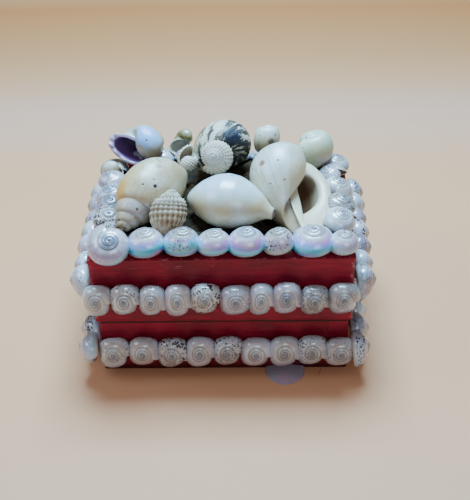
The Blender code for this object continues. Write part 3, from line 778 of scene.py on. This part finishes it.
borderSides = {
    # x, y, width, height, lean to the front and outward, then blotches, scribble, glow, tint
    "left": ((-47.0, -21.6, 15.0, 10.0, 12, -10, 1.0, 0.0, 0.15, 0.6),
             (-47.2, -8.6, 15.0, 10.0, 10, -6, 0.7, 1.0, 0.25, 0.95),
             (-48.6, 2.0, 13.6, 9.0, 6, 6, 0.0, 0.2, 0.25, 0.95),
             (-49.2, 13.6, 13.2, 7.8, 4, 10, 0.1, 0.2, 0.25, 0.8),
             (-49.6, 25.4, 13.4, 7.2, 0, 12, 0.5, 0.8, 0.1, 0.5)),
    "right": ((48.6, -20.4, 14.4, 8.6, 12, 14, 0.0, 0.15, 0.15, 0.2),
              (49.0, -8.4, 13.8, 8.8, 10, 14, 0.3, 0.9, 0.1, 0.4),
              (49.2, 3.4, 13.6, 8.6, 6, 16, 0.1, 0.1, 0.1, 0.2),
              (49.0, 15.2, 13.8, 8.6, 4, -20, 0.0, 0.3, 0.1, 0.7),
              (49.2, 27.4, 13.4, 7.2, 0, 14, 0.2, 0.3, 0.15, 0.4)),
}

borderBack = {"count": 8, "pitch": 11.6, "y": 34.6, "width": 12.2, "height": 7.0, "lean": 14.0}


boardTop = 60.1     # the border shells stand just clear of the lid's board
boardEdge = 41.2


def borderShell(name, x, y, width, height, leans, look, spin, seed):
    # A button shell that lies on the board; leans are the tip's slopes along x and y in degrees.
    # A leaning one touches with its low rim, or over the board's front or back edge if that comes first.
    tip = np.array([math.tan(math.radians(leans[0])), math.tan(math.radians(leans[1])), 1.0])
    tip /= np.linalg.norm(tip)
    held = min(width / 2 * tip[2], boardEdge - abs(y))
    place = np.array([x, y, boardTop + held * math.sqrt(1 - tip[2] ** 2) / tip[2]])
    skin = buttonSkin(place, (1, 0, 0), tip, (width, width, height), look, spin, seed, perTurn=24,
                      around=16, boxy=0.08)
    makePiece(name.replace("border", "border_button"), skin, pearl, [name])


for number, (x, y, width, height, ahead, right, *look) in enumerate(borderFront["shells"], 1):
    seed = 120 + number
    borderShell(f"border_front_{number}", x, y, width, height, (right, -ahead), look,
                105 + 20 * math.sin(seed), seed)
for sideName, sign in (("left", -1), ("right", 1)):
    for number, (x, y, width, height, ahead, away, *look) in enumerate(borderSides[sideName], 1):
        seed = 140 + 10 * sign + number
        borderShell(f"border_{sideName}_{number}", x, y, width, height, (sign * away, -ahead), look,
                    90 * math.sin(seed * 2.0), seed)
for number in range(1, borderBack["count"] + 1):
    seed = 160 + number
    look = (0.3 * (number % 3 == 0), 0.5 * (number % 4 == 1), 0.2, 0.5 + 0.4 * math.sin(seed))
    borderShell(f"border_back_{number}", (number - (borderBack["count"] + 1) / 2) * borderBack["pitch"],
                borderBack["y"], borderBack["width"], borderBack["height"], (0, borderBack["lean"]), look,
                70 * math.sin(seed), seed)
print("border made")


# perTurn and around are steps; reach is the radius at the mouth, face the way the mouth opens,
# shift centres the last turn, and stain is how much darker and browner it gets low down: partly dirt, partly
# painted shade
largeCoil = {**coilShape, "perTurn": 60, "around": 56, "slow": 0.0, "centre": 0.5, "half": 0.5,
             "shift": 1.0, "stainAndShade": 0.0}


def largeShell(changes):
    # A coil laid from its tip to its front end: radius times reach, length times the ends' distance,
    # then turned until its axis and its mouth point the right ways
    v = {**largeCoil, **changes}
    tip, front = np.array(v["tip"], float), np.array(v["front"], float)
    axis = tip - front
    shell = coilShell(v)
    points = shell["points"] * (v["reach"], v["reach"], np.linalg.norm(axis))
    points[..., 0] -= v["shift"] * v["reach"] * (1 - v["growth"] ** -0.5) / 2
    points = turnTo(points, axis, v["face"]) + front
    # darker low down: partly dirt, partly painted shade
    if v["stainAndShade"]:
        low = smooth(points[..., 2], points[..., 2].max() - 4, points[..., 2].min() + 2) * v["stainAndShade"]
    else:
        low = np.zeros(points.shape[:2])
    marks = {"coil": shell["coil"], "finish": np.stack([shell["inside"], shell["relief"], low], axis=-1)}
    return skinLoops(points, marks)


def addShell(name, shape, material, node):
    # One large shell, and the CAD node that it stands for
    makePiece(name, largeShell(shape), material, [node])


whiteWhelk = {
    "tip": (23.6, 15, 82.2), "front": (31.4, -34.6, 64.3), "face": (0.35, -0.35, 1), "reach": 19.6,
    "shift": 0.0, "stainAndShade": 0.5, "turns": 3.2, "growth": 2.0, "depth": 0.46, "top": 0.27, "bottom": 0.54,
    "canal": 1.0, "canalPower": 2.4, "canalCentre": 0.26, "canalHalf": 0.24, "wall": 0.5, "flare": 0.08,
    "flareLength": 0.1, "lumps": 0.018, "seed": 4,
}
whiteShellLook = {
    "base": (0.6, 0.6, 0.54), "second": (0.54, 0.44, 0.26), "growthAmount": 0.7, "growthBump": 1.0,
    "streakAmount": 0.6, "lip": (0.7, 0.6, 0.4), "lipWide": 0.05, "wornAmount": 0.55,
    "insideLength": 0.32, "insideCloud": (0.2, 0.1, 0.05),
    # inside tones from the mouth inward: the dark end is painted shade
    "inside": [(0.0, (0.72, 0.66, 0.52)), (0.1, (0.5, 0.42, 0.3)), (0.26, (0.13, 0.06, 0.035)),
               (0.7, (0.012, 0.007, 0.006))],
    "patches": (((17.1, -6.1, 84.5), 1.6, (0.24, 0.12, 0.05), 0.9),
                ((33.0, -9.0, 77.6), 11.0, (0.58, 0.47, 0.28), 0.6),
                ((27.0, -22.0, 68.0), 7.0, (0.38, 0.28, 0.16), 0.7),
                ((21.0, 25.0, 77.0), 2.2, (0.1, 0.06, 0.035), 0.9)),
}
whiteShell = shellPaint("whiteShell", whiteShellLook)
addShell("large_white_whelk", whiteWhelk, whiteShell, "white_whelk")

creamWhelk = {
    "tip": (-44.0, -31, 64.4), "front": (-20.6, 10.5, 81.4), "face": (-0.88, 0.1, 0.45), "reach": 15.4,
    "stainAndShade": 0.5, "turns": 4.8, "growth": 1.52, "centre": 0.52, "half": 0.48, "depth": 0.64, "top": 0.27,
    "bottom": 0.34, "wall": 0.2, "flare": 0.16, "lumps": 0.028, "seed": 6,
}
creamShellLook = {
    "base": (0.56, 0.53, 0.44), "second": (0.49, 0.38, 0.2), "wornAmount": 0.9, "growthAmount": 0.7,
    "skyReflectionAmount": 0.35, "streakAmount": 0.7, "spire": (0.36, 0.32, 0.37), "spireFrom": (0.9, 1.5),
    "lip": (0.7, 0.5, 0.22), "lipWide": 0.2,
    "patches": (((-42.0, -16.4, 79.0), 7.0, (0.6, 0.33, 0.08), 0.9),
                ((-26.8, -19.2, 81.9), 1.1, (0.012, 0.008, 0.006), 1.0),
                ((-34.2, -25.4, 74.8), 0.8, (0.02, 0.015, 0.02), 1.0),
                ((-18.0, -8.0, 80.0), 7.0, (0.38, 0.29, 0.17), 0.7),
                ((-25.9, -10.8, 86.4), 2.0, (0.05, 0.03, 0.02), 0.9)),
}
creamShell = shellPaint("creamShell", creamShellLook)
addShell("large_cream_whelk", creamWhelk, creamShell, "cream_whelk")

domeSnail = {
    "tip": (-1.4, 37.0, 75.0), "front": (0.8, 11.0, 74.0), "face": (0.3, 0.1, -0.95), "reach": 15.1,
    "shift": 0.8, "turns": 3.6, "growth": 1.7, "depth": 0.6, "top": 0.34, "bottom": 0.4, "square": 0.9,
    "seed": 9,
}
streakedLook = {
    "base": (0.56, 0.56, 0.5), "second": (0.46, 0.4, 0.27), "dark": (0.008, 0.008, 0.011),
    "darkBlue": (0.014, 0.024, 0.05), "darkTurns": 26.0, "darkSlant": 7.0, "darkRows": 3.4,
    "rough": 0.36, "coat": 0.12, "gloss": 0.25, "skyReflectionAmount": 0.2,
    "patches": (((4.0, 17.0, 85.0), 7.0, (0.01, 0.018, 0.045), 0.9),
                ((-12.0, 22.0, 76.0), 9.0, (0.36, 0.3, 0.16), 0.6)),
}
streaked = shellPaint("streakedShell", streakedLook)
addShell("large_dome_snail", domeSnail, streaked, "dome_snail")

purpleMouth = {
    "tip": (-27.4, 26.0, 70.4), "front": (-49.0, 33.0, 81.8), "face": (-0.15, -0.7, 0.7), "reach": 11.6,
    "shift": 0.0, "stainAndShade": 0.6, "turns": 3.2, "growth": 2.1, "depth": 0.56, "top": 0.42, "bottom": 0.42,
    "wall": 0.24, "jag": 0.008, "lumps": 0.015, "seed": 3,
}
purpleLook = {
    "base": (0.42, 0.46, 0.48), "second": (0.4, 0.33, 0.22), "skyReflectionAmount": 0.3,
    "lip": (0.56, 0.5, 0.4),
    # purple inside tones from the mouth inward: the dark end is painted shade
    "inside": [(0.0, (0.4, 0.3, 0.46)), (0.06, (0.24, 0.12, 0.34)), (0.22, (0.05, 0.02, 0.08)),
               (0.6, (0.006, 0.003, 0.01))],
    "insideCloud": (0.16, 0.08, 0.22),
    "patches": (((-33.6, 25.8, 80.9), 9.0, (0.16, 0.38, 0.76), 0.9),
                ((-28.0, 18.0, 74.0), 8.5, (0.3, 0.21, 0.11), 0.95),
                ((-37.0, 19.0, 70.0), 6.0, (0.55, 0.48, 0.36), 0.7)),
}
purplePaint = shellPaint("purpleMouthShell", purpleLook)
addShell("large_purple_mouth_snail", purpleMouth, purplePaint, "purple_mouth_snail")

greenMoon = {
    "tip": (37.5, 27, 80), "front": (42.5, 23.6, 64.2), "face": (-0.6, 0.6, -0.4), "reach": 10.8,
    "turns": 3.2, "growth": 1.9, "depth": 0.52, "top": 0.44, "bottom": 0.46, "seed": 12,
}
greenLook = {
    "base": (0.36, 0.5, 0.4), "second": (0.5, 0.48, 0.28), "spire": (0.52, 0.6, 0.54),
    "growthAmount": 0.15, "skyReflectionAmount": 0.2,
    "patches": (((45.0, 18.0, 71.0), 6.0, (0.5, 0.4, 0.33), 0.7),),
}
greenPaint = shellPaint("greenMoonShell", greenLook)
addShell("large_green_moon_snail", greenMoon, greenPaint, "green_moon_snail")

whiteMoon = {
    "tip": (19.6, 33.0, 81.6), "front": (18.6, 27.6, 69.4), "face": (-0.3, 0.8, -0.5), "reach": 7.0,
    "turns": 3.2, "growth": 1.9, "depth": 0.56, "top": 0.46, "bottom": 0.42, "seed": 14,
}
addShell("large_white_moon_snail", whiteMoon, whiteShell, "white_moon_snail")

beadedWhelk = {
    "tip": (-20.4, -17.4, 80.6), "front": (-23.0, -32.8, 63.0), "face": (-0.3, 0.6, -0.7), "reach": 8.2,
    "perTurn": 120, "around": 100, "turns": 4.8, "growth": 1.45, "depth": 0.54, "top": 0.3,
    "bottom": 0.46, "canal": 0.9, "canalPower": 2.0, "cords": 22, "cordHeight": 0.03, "ribs": 21,
    "ribHeight": 0.042, "lumps": 0.06, "seed": 16,
}
tanLook = {
    "base": (0.36, 0.26, 0.16), "second": (0.46, 0.37, 0.25), "spire": (0.42, 0.35, 0.26),
    "stainAndShade": (0.11, 0.055, 0.025), "relief": 0.8, "skyReflectionAmount": 0.25, "crest": (0.52, 0.45, 0.34),
    "bands": 5.0, "bandAmount": 0.7, "rough": 0.5, "coat": 0.0,
}
tanPaint = shellPaint("tanBeadedShell", tanLook)
addShell("beaded_dog_whelk", beadedWhelk, tanPaint, "beaded_whelk")

ribbedRight = {
    "tip": (-4.6, -1.0, 84.0), "front": (-2.0, 13, 77.0), "face": (-0.68, 0.39, 0.52), "reach": 8.4,
    "perTurn": 90, "around": 72, "turns": 4.2, "growth": 1.52, "depth": 0.6, "top": 0.36,
    "bottom": 0.4, "cords": 20, "cordHeight": 0.04, "ribs": 26, "ribHeight": 0.022, "seed": 18,
}
ribbedLook = {
    "base": (0.62, 0.61, 0.58), "second": (0.54, 0.48, 0.4), "skyReflectionAmount": 0.25,
    "spire": (0.66, 0.66, 0.66), "relief": 0.7, "crest": (0.7, 0.7, 0.68), "stainAndShade": (0.24, 0.15, 0.08),
    "rough": 0.48, "coat": 0.0,
    "patches": (((-10.0, 4.0, 78.0), 4.5, (0.26, 0.15, 0.07), 0.8),),
}
ribbedPaint = shellPaint("ribbedShell", ribbedLook)
addShell("ribbed_snail_right_shell", ribbedRight, ribbedPaint, "ribbed_snail_right")

ribbedLeft = {
    "tip": (-18.4, 8.6, 73.0), "front": (-11.8, 15.2, 79.6), "face": (0.35, -0.9, 0.2), "reach": 5.6,
    "perTurn": 90, "around": 72, "turns": 3.8, "growth": 1.8, "depth": 0.56, "top": 0.36, "bottom": 0.42,
    "cords": 16, "cordHeight": 0.06, "ribs": 20, "ribHeight": 0.034, "seed": 20,
}
addShell("ribbed_snail_left_shell", ribbedLeft, ribbedPaint, "ribbed_snail_left")

pearlySnail = {
    "tip": (-14.6, 39.0, 70.4), "front": (-25.6, 37.0, 71.6), "face": (0.1, -0.85, 0.5), "reach": 8.0,
    "shift": 0.6, "turns": 1.8, "growth": 3.2, "centre": 0.52, "half": 0.48, "depth": 0.55, "top": 0.45,
    "bottom": 0.45, "wall": 0.1, "seed": 22,
}
pearlyLook = {
    "base": (0.2, 0.17, 0.06), "second": (0.3, 0.26, 0.12), "skyReflectionAmount": 0.15,
    "spire": (0.45, 0.4, 0.26), "lip": (0.22, 0.17, 0.06),
    "inside": [(0.0, (0.6, 0.62, 0.5)), (0.5, (0.62, 0.64, 0.66)), (1.0, (0.4, 0.4, 0.42))],
    "insideCloud": (0.62, 0.56, 0.58), "rough": 0.22, "coat": 0.5,
}
pearlyPaint = shellPaint("pearlySnailShell", pearlyLook)
addShell("pearly_snail_shell", pearlySnail, pearlyPaint, "pearly_snail")

brokenSnail = {
    "tip": (-48.0, 23.0, 68.6), "front": (-52.6, 16.0, 62.4), "face": (-0.1, -0.75, 0.65), "reach": 6.0,
    "turns": 3.0, "growth": 1.9, "depth": 0.55, "top": 0.42, "bottom": 0.45, "jag": 0.02, "wall": 0.14,
    "seed": 24,
}
addShell("broken_snail_shell", brokenSnail, creamShell, "broken_snail")
print("coiled shells made")

eggShell = {
    "left": (-14.6, -11.6, 72.8), "right": (21.6, -22.2, 72.4),
    # share of the length, radius, as the outline runs from the neck at the left to the hooked tip
    "outline": ((0.0, 0.6), (0.02, 2.6), (0.07, 4.8), (0.16, 8.0), (0.3, 11.0), (0.44, 12.3), (0.58, 11.8),
                (0.72, 9.6), (0.84, 6.5), (0.92, 4.0), (0.97, 3.1), (1.0, 2.7)),
    "sag": 1.6, "flatten": 0.92, "hook": 1.6,
    # the same past the tip, where the shell turns in
    "turnIn": ((1.004, 2.3), (0.998, 1.9), (0.985, 1.8), (0.965, 1.6), (0.94, 1.2)),
    "notch": 0.75, "notchAngle": 5.0, "notchWide": 0.55,
}


def makeEggShell(v):
    # The outline is carried round a slightly bent axis; the right end turns in and leaves a notch
    left, right = np.array(v["left"]), np.array(v["right"])
    axis = right - left
    share, radius = np.array(v["outline"]).T
    steps = np.linspace(0, 1, 64)
    outer = np.interp(steps, share, radius)
    for _ in range(3):
        outer[1:-1] = (outer[:-2] + 2 * outer[1:-1] + outer[2:]) / 4
    inSteps, inRadius = np.array(v["turnIn"]).T
    along = np.concatenate([steps, inSteps])[:, None]
    reach = np.concatenate([outer, inRadius])[:, None]
    angle = 2 * math.pi * np.arange(64)[None, :] / 64
    forward = axis / np.linalg.norm(axis)
    up = np.array([0, 0, 1.0])
    side = np.cross(forward, up)
    side /= np.linalg.norm(side)
    up = np.cross(side, forward)
    nearNotch = np.exp(-((angle - v["notchAngle"]) / v["notchWide"]) ** 2)
    notch = 1 - v["notch"] * smooth(along, 0.9, 1.0) * nearNotch
    reach = reach * notch
    shiftDown = -v["sag"] * (2 * along - 1) ** 2 - v["hook"] * smooth(along, 0.86, 1.0)
    middle = left + along[..., None] * axis + shiftDown[..., None] * up
    points = middle + (reach * np.cos(angle))[..., None] * side
    points = points + (reach * np.sin(angle) * v["flatten"])[..., None] * up
    inside = np.concatenate([np.zeros(len(steps)), np.ones(len(inSteps))])[:, None] + 0 * angle
    across = angle / math.pi - 1
    coil = np.stack([along * 3 + 0 * angle, across + 0 * along, 1.5 - along + 0 * angle], axis=-1)
    # darker towards the bottom: partly dirt, partly painted shade
    stainAndShade = smooth(points[..., 2], 72, 62) * 0.35
    return skinLoops(points, {"coil": coil, "finish": np.stack([inside, 0 * inside, stainAndShade], axis=-1)})


eggLook = {
    "base": (0.56, 0.6, 0.6), "second": (0.56, 0.47, 0.27), "cloudScale": 60.0, "skyReflectionAmount": 0.75,
    "streakAmount": 0.15, "growthLines": 9.0, "growthAmount": 0.12, "growthBump": 0.1, "grainBump": 0.04,
    "spireFrom": (3.0, 4.0), "wornAmount": 0.3, "lipWide": 0.01, "rough": 0.2, "coat": 0.6, "bump": 0.2,
    "patches": (((-9.0, -23.0, 71.0), 9.0, (0.56, 0.43, 0.21), 0.75),
                ((17.0, -25.0, 73.0), 8.0, (0.56, 0.43, 0.2), 0.75),
                ((2.0, -28.0, 67.0), 6.0, (0.46, 0.38, 0.24), 0.6)),
}
eggPaint = shellPaint("glossyEggShell", eggLook)
makePiece("glossy_egg_shell", makeEggShell(eggShell), eggPaint, ["egg_shell"])

glueBed = {"halfWide": 51.6, "halfDeep": 37.0, "middleY": 0.0, "base": 60.05, "rise": 3.4, "boxy": 0.42,
           "hollow": (36.0, -14.0, 18.0, 24.0)}


def makeGlueBed(v):
    # A lumpy pad: rings from its middle to a wavy rim; the height is soft bumps that fade to the rim
    share = np.linspace(0.02, 1, 44)[:, None]
    angle = 2 * math.pi * np.arange(150)[None, :] / 150
    wave = 1 + 0.04 * np.sin(5 * angle) + 0.03 * np.sin(7 * angle + 1)
    cos, sin = np.cos(angle), np.sin(angle)
    x = v["halfWide"] * np.sign(cos) * np.abs(cos) ** v["boxy"] * share * wave
    y = v["middleY"] + v["halfDeep"] * np.sign(sin) * np.abs(sin) ** v["boxy"] * share * wave
    flat = np.stack([x, y, 0 * x], axis=-1)
    bumps = 0.6 * ripple(flat, 17, 41) + 0.35 * ripple(flat, 7, 42) + 0.2 * ripple(flat, 3, 43)
    hollow = np.hypot((x - v["hollow"][0]) / v["hollow"][2], (y - v["hollow"][1]) / v["hollow"][3])
    kept = 0.1 + 0.9 * smooth(hollow, 0.8, 1.3)
    rise = v["rise"] * (1.0 + 0.45 * bumps) * smooth(share, 1.0, 0.88) * kept
    top = np.stack([x, y, v["base"] + 0.25 + np.maximum(rise, 0.1)], axis=-1)
    rim = np.stack([x[-1], y[-1], np.full(150, v["base"])], axis=-1)[None]
    return skinLoops(np.concatenate([top, rim]))


makePiece("set_glue_bed", makeGlueBed(glueBed), glueBrown, ["glue_bed"])

footChip = {"middleX": 26.2, "halfWide": 8.4, "backY": -39.3, "reach": 10.8, "thick": 0.6, "tilt": 0.8}


def makeFootChip(v):
    # A curved flake: a half oval of cross strips, thin at the rim and arched across
    share = np.linspace(-0.999, 0.999, 48)[:, None]
    around = np.linspace(0, 1, 24)
    loop = np.concatenate([around, around[::-1]])[None, :]
    upper = np.concatenate([np.zeros(24), np.ones(24)])[None, :]
    reach = v["reach"] * np.sqrt(1 - 0.9 * share ** 2) * (1 + 0.02 * np.sin(share * 17))
    x = v["middleX"] + v["halfWide"] * share + 0 * loop
    y = v["backY"] - reach * loop
    arch = 0.9 * (1 - share ** 2) + v["tilt"]
    low = arch * (1 - loop) + 0.02
    z = low + upper * v["thick"] * (1 - 0.75 * loop ** 4) * np.sqrt(1 - 0.8 * share ** 2)
    points = np.stack(np.broadcast_arrays(x, y, z), axis=-1)
    ones = np.ones(points.shape[:2])
    coil = np.stack([ones * share * 1.2, ones * loop * 0.4, ones * 0.3], axis=-1)
    return skinLoops(points, {"coil": coil, "finish": np.stack([0 * ones, ones * 0.1, ones * 0.9], axis=-1),
                              "marks": np.stack([0 * ones, 0 * ones, ones * 0.8], axis=-1)})


lilacPearl = paintButtonPearl({**buttonPearl, "pearl": (0.3, 0.23, 0.28), "cream": (0.32, 0.25, 0.24),
                               "lilac": (0.3, 0.2, 0.3)})
makePiece("foot_chip_flake", makeFootChip(footChip), lilacPearl, ["foot_chip"], sharp=60)

glueStrand = {"path": ((44.3, -42.0, 29.0), (43.9, -43.4, 24.0), (43.0, -44.6, 17.0), (41.8, -45.4, 8.0),
                       (40.8, -45.0, 1.0)), "radius": 0.09}


def makeGlueStrand(v):
    # A thread of glue that hangs down the front: small rings along a path
    along = np.linspace(0, len(v["path"]) - 1, 60)
    path = np.array(v["path"])
    middle = np.stack([np.interp(along, np.arange(len(path)), path[:, axis]) for axis in range(3)], axis=-1)
    angle = 2 * math.pi * np.arange(8) / 8
    ring = np.stack([np.cos(angle), np.sin(angle), 0 * angle], axis=-1) * v["radius"]
    return skinLoops(middle[:, None, :] + ring[None])


makePiece("set_glue_strand", makeGlueStrand(glueStrand), glueBrown)
print("large shells, glue and chip made")


studio = {
    # the floor's tones from front to back, each with its distance along y in metres; the changes between
    # them are painted light and shade across the sweep
    "floorTones": ((-0.2, (0.59, 0.345, 0.245)), (-0.06, (0.62, 0.305, 0.175)), (0.12, (0.6, 0.29, 0.152)),
                   (0.2, (0.52, 0.29, 0.21)), (0.245, (0.5, 0.245, 0.13)), (0.285, (0.45, 0.205, 0.088)),
                   (0.37, (0.44, 0.165, 0.056)), (0.42, (0.5, 0.26, 0.13)), (0.6, (0.6, 0.42, 0.31))),
    "worldTone": (1.0, 0.86, 0.74), "worldStrength": 0.26,
    "lights": (
        # name, place in metres, aimed at, width, depth, watts, colour
        ("skyLight", (0.0, 0.2, 0.62), (0, 0, 0.05), 0.34, 0.28, 17.0, (0.43, 0.77, 1.0)),
        ("leftFill", (-0.55, -0.1, 0.5), (0, 0, 0.05), 0.3, 0.3, 1.8, (0.7, 0.88, 1.0)),
        ("frontFill", (0.2, -0.7, 0.5), (0, 0, 0.04), 0.4, 0.3, 1.5, (0.8, 0.9, 1.0)),
    ),
}


def makeFloor(v):
    # A floor that curves up into a wall behind; a profile carried sideways
    rows, cols, halfWide = 80, 24, 5.0
    run = np.linspace(0, 1, rows)
    near, far, bend, tall = -4.0, 1.0, 0.5, 2.4
    turn = np.clip((run - 0.55) / 0.2, 0, 1) * math.pi / 2
    y = np.where(run < 0.55, near + (far - near) * run / 0.55, far + bend * np.sin(turn))
    z = np.where(run < 0.55, 0.0, bend * (1 - np.cos(turn)) + np.clip(run - 0.75, 0, 1) * tall * 4)
    x = np.linspace(-halfWide, halfWide, cols)[:, None]
    points = np.stack(np.broadcast_arrays(x, y, z), axis=-1).reshape(-1, 3)
    index = np.arange(cols * rows).reshape(cols, rows)
    faces = np.stack([index[:-1, :-1], index[1:, :-1], index[1:, 1:], index[:-1, 1:]], axis=-1)
    faces = faces.reshape(-1, 4)
    mesh = bpy.data.meshes.new("studioFloor")
    mesh.from_pydata(points.tolist(), [], faces.tolist())
    mesh.shade_smooth()
    p = Paint("paleFloor")
    place = p.place()
    y = p.parts(place)[1]
    soft = p.noise(place, 3.0, 3.0, 0.5)
    paper = p.noise(place, 900.0, 3.0, 0.6)
    first, last = v["floorTones"][0][0], v["floorTones"][-1][0]
    # painted light and shade: the colour runs through the floor's tones from front to back
    tone = p.ramp((y + (soft - 0.5) * 0.03).ease(first, last, "LINEAR"),
                  [((place - first) / (last - first), tone) for place, tone in v["floorTones"]])
    p.finish((paper, 0.05, 0.3), Base_Color=tone, Roughness=0.6 + paper * 0.1, Specular_IOR_Level=0.3)
    mesh.materials.append(p.material)
    floor = bpy.data.objects.new("studioFloor", mesh)
    bpy.context.scene.collection.objects.link(floor)


makeFloor(studio)

world = bpy.data.worlds.new("studioWorld")
world.use_nodes = True
world.node_tree.nodes["Background"].inputs["Color"].default_value = (*studio["worldTone"], 1)
world.node_tree.nodes["Background"].inputs["Strength"].default_value = studio["worldStrength"]
bpy.context.scene.world = world

for name, place, aim, width, depth, watts, tone in studio["lights"]:
    light = bpy.data.lights.new(name, "AREA")
    light.shape = "RECTANGLE"
    light.size = width
    light.size_y = depth
    light.energy = watts
    light.color = tone
    lamp = bpy.data.objects.new(name, light)
    lamp.location = place
    lamp.rotation_euler = (Vector(aim) - Vector(place)).to_track_quat("-Z", "Y").to_euler()
    bpy.context.scene.collection.objects.link(lamp)

viewpoint = {
    "place": (0.01806, -0.38224, 0.30609),
    "yaw": -2.0332, "pitch": 35.2465, "roll": -1.7591, "lens": 75.01,
}


def makeCamera(v):
    # Looks along +Y turned by yaw, tipped down by pitch, then rolled about its own line of sight
    yaw, pitch, roll = (math.radians(v[key]) for key in ("yaw", "pitch", "roll"))
    ahead = Vector((math.sin(yaw) * math.cos(pitch), math.cos(yaw) * math.cos(pitch), -math.sin(pitch)))
    right = Vector((math.cos(yaw), -math.sin(yaw), 0))
    up = right.cross(ahead)
    side = right * math.cos(roll) + up * math.sin(roll)
    top = up * math.cos(roll) - right * math.sin(roll)
    data = bpy.data.cameras.new("camera")
    data.lens = v["lens"]
    camera = bpy.data.objects.new("camera", data)
    bpy.context.scene.collection.objects.link(camera)
    camera.matrix_world = (Matrix.Translation(Vector(v["place"]))
                           @ Matrix((side, top, -ahead)).transposed().to_4x4())
    bpy.context.scene.camera = camera


makeCamera(viewpoint)
print("floor, light and camera made")
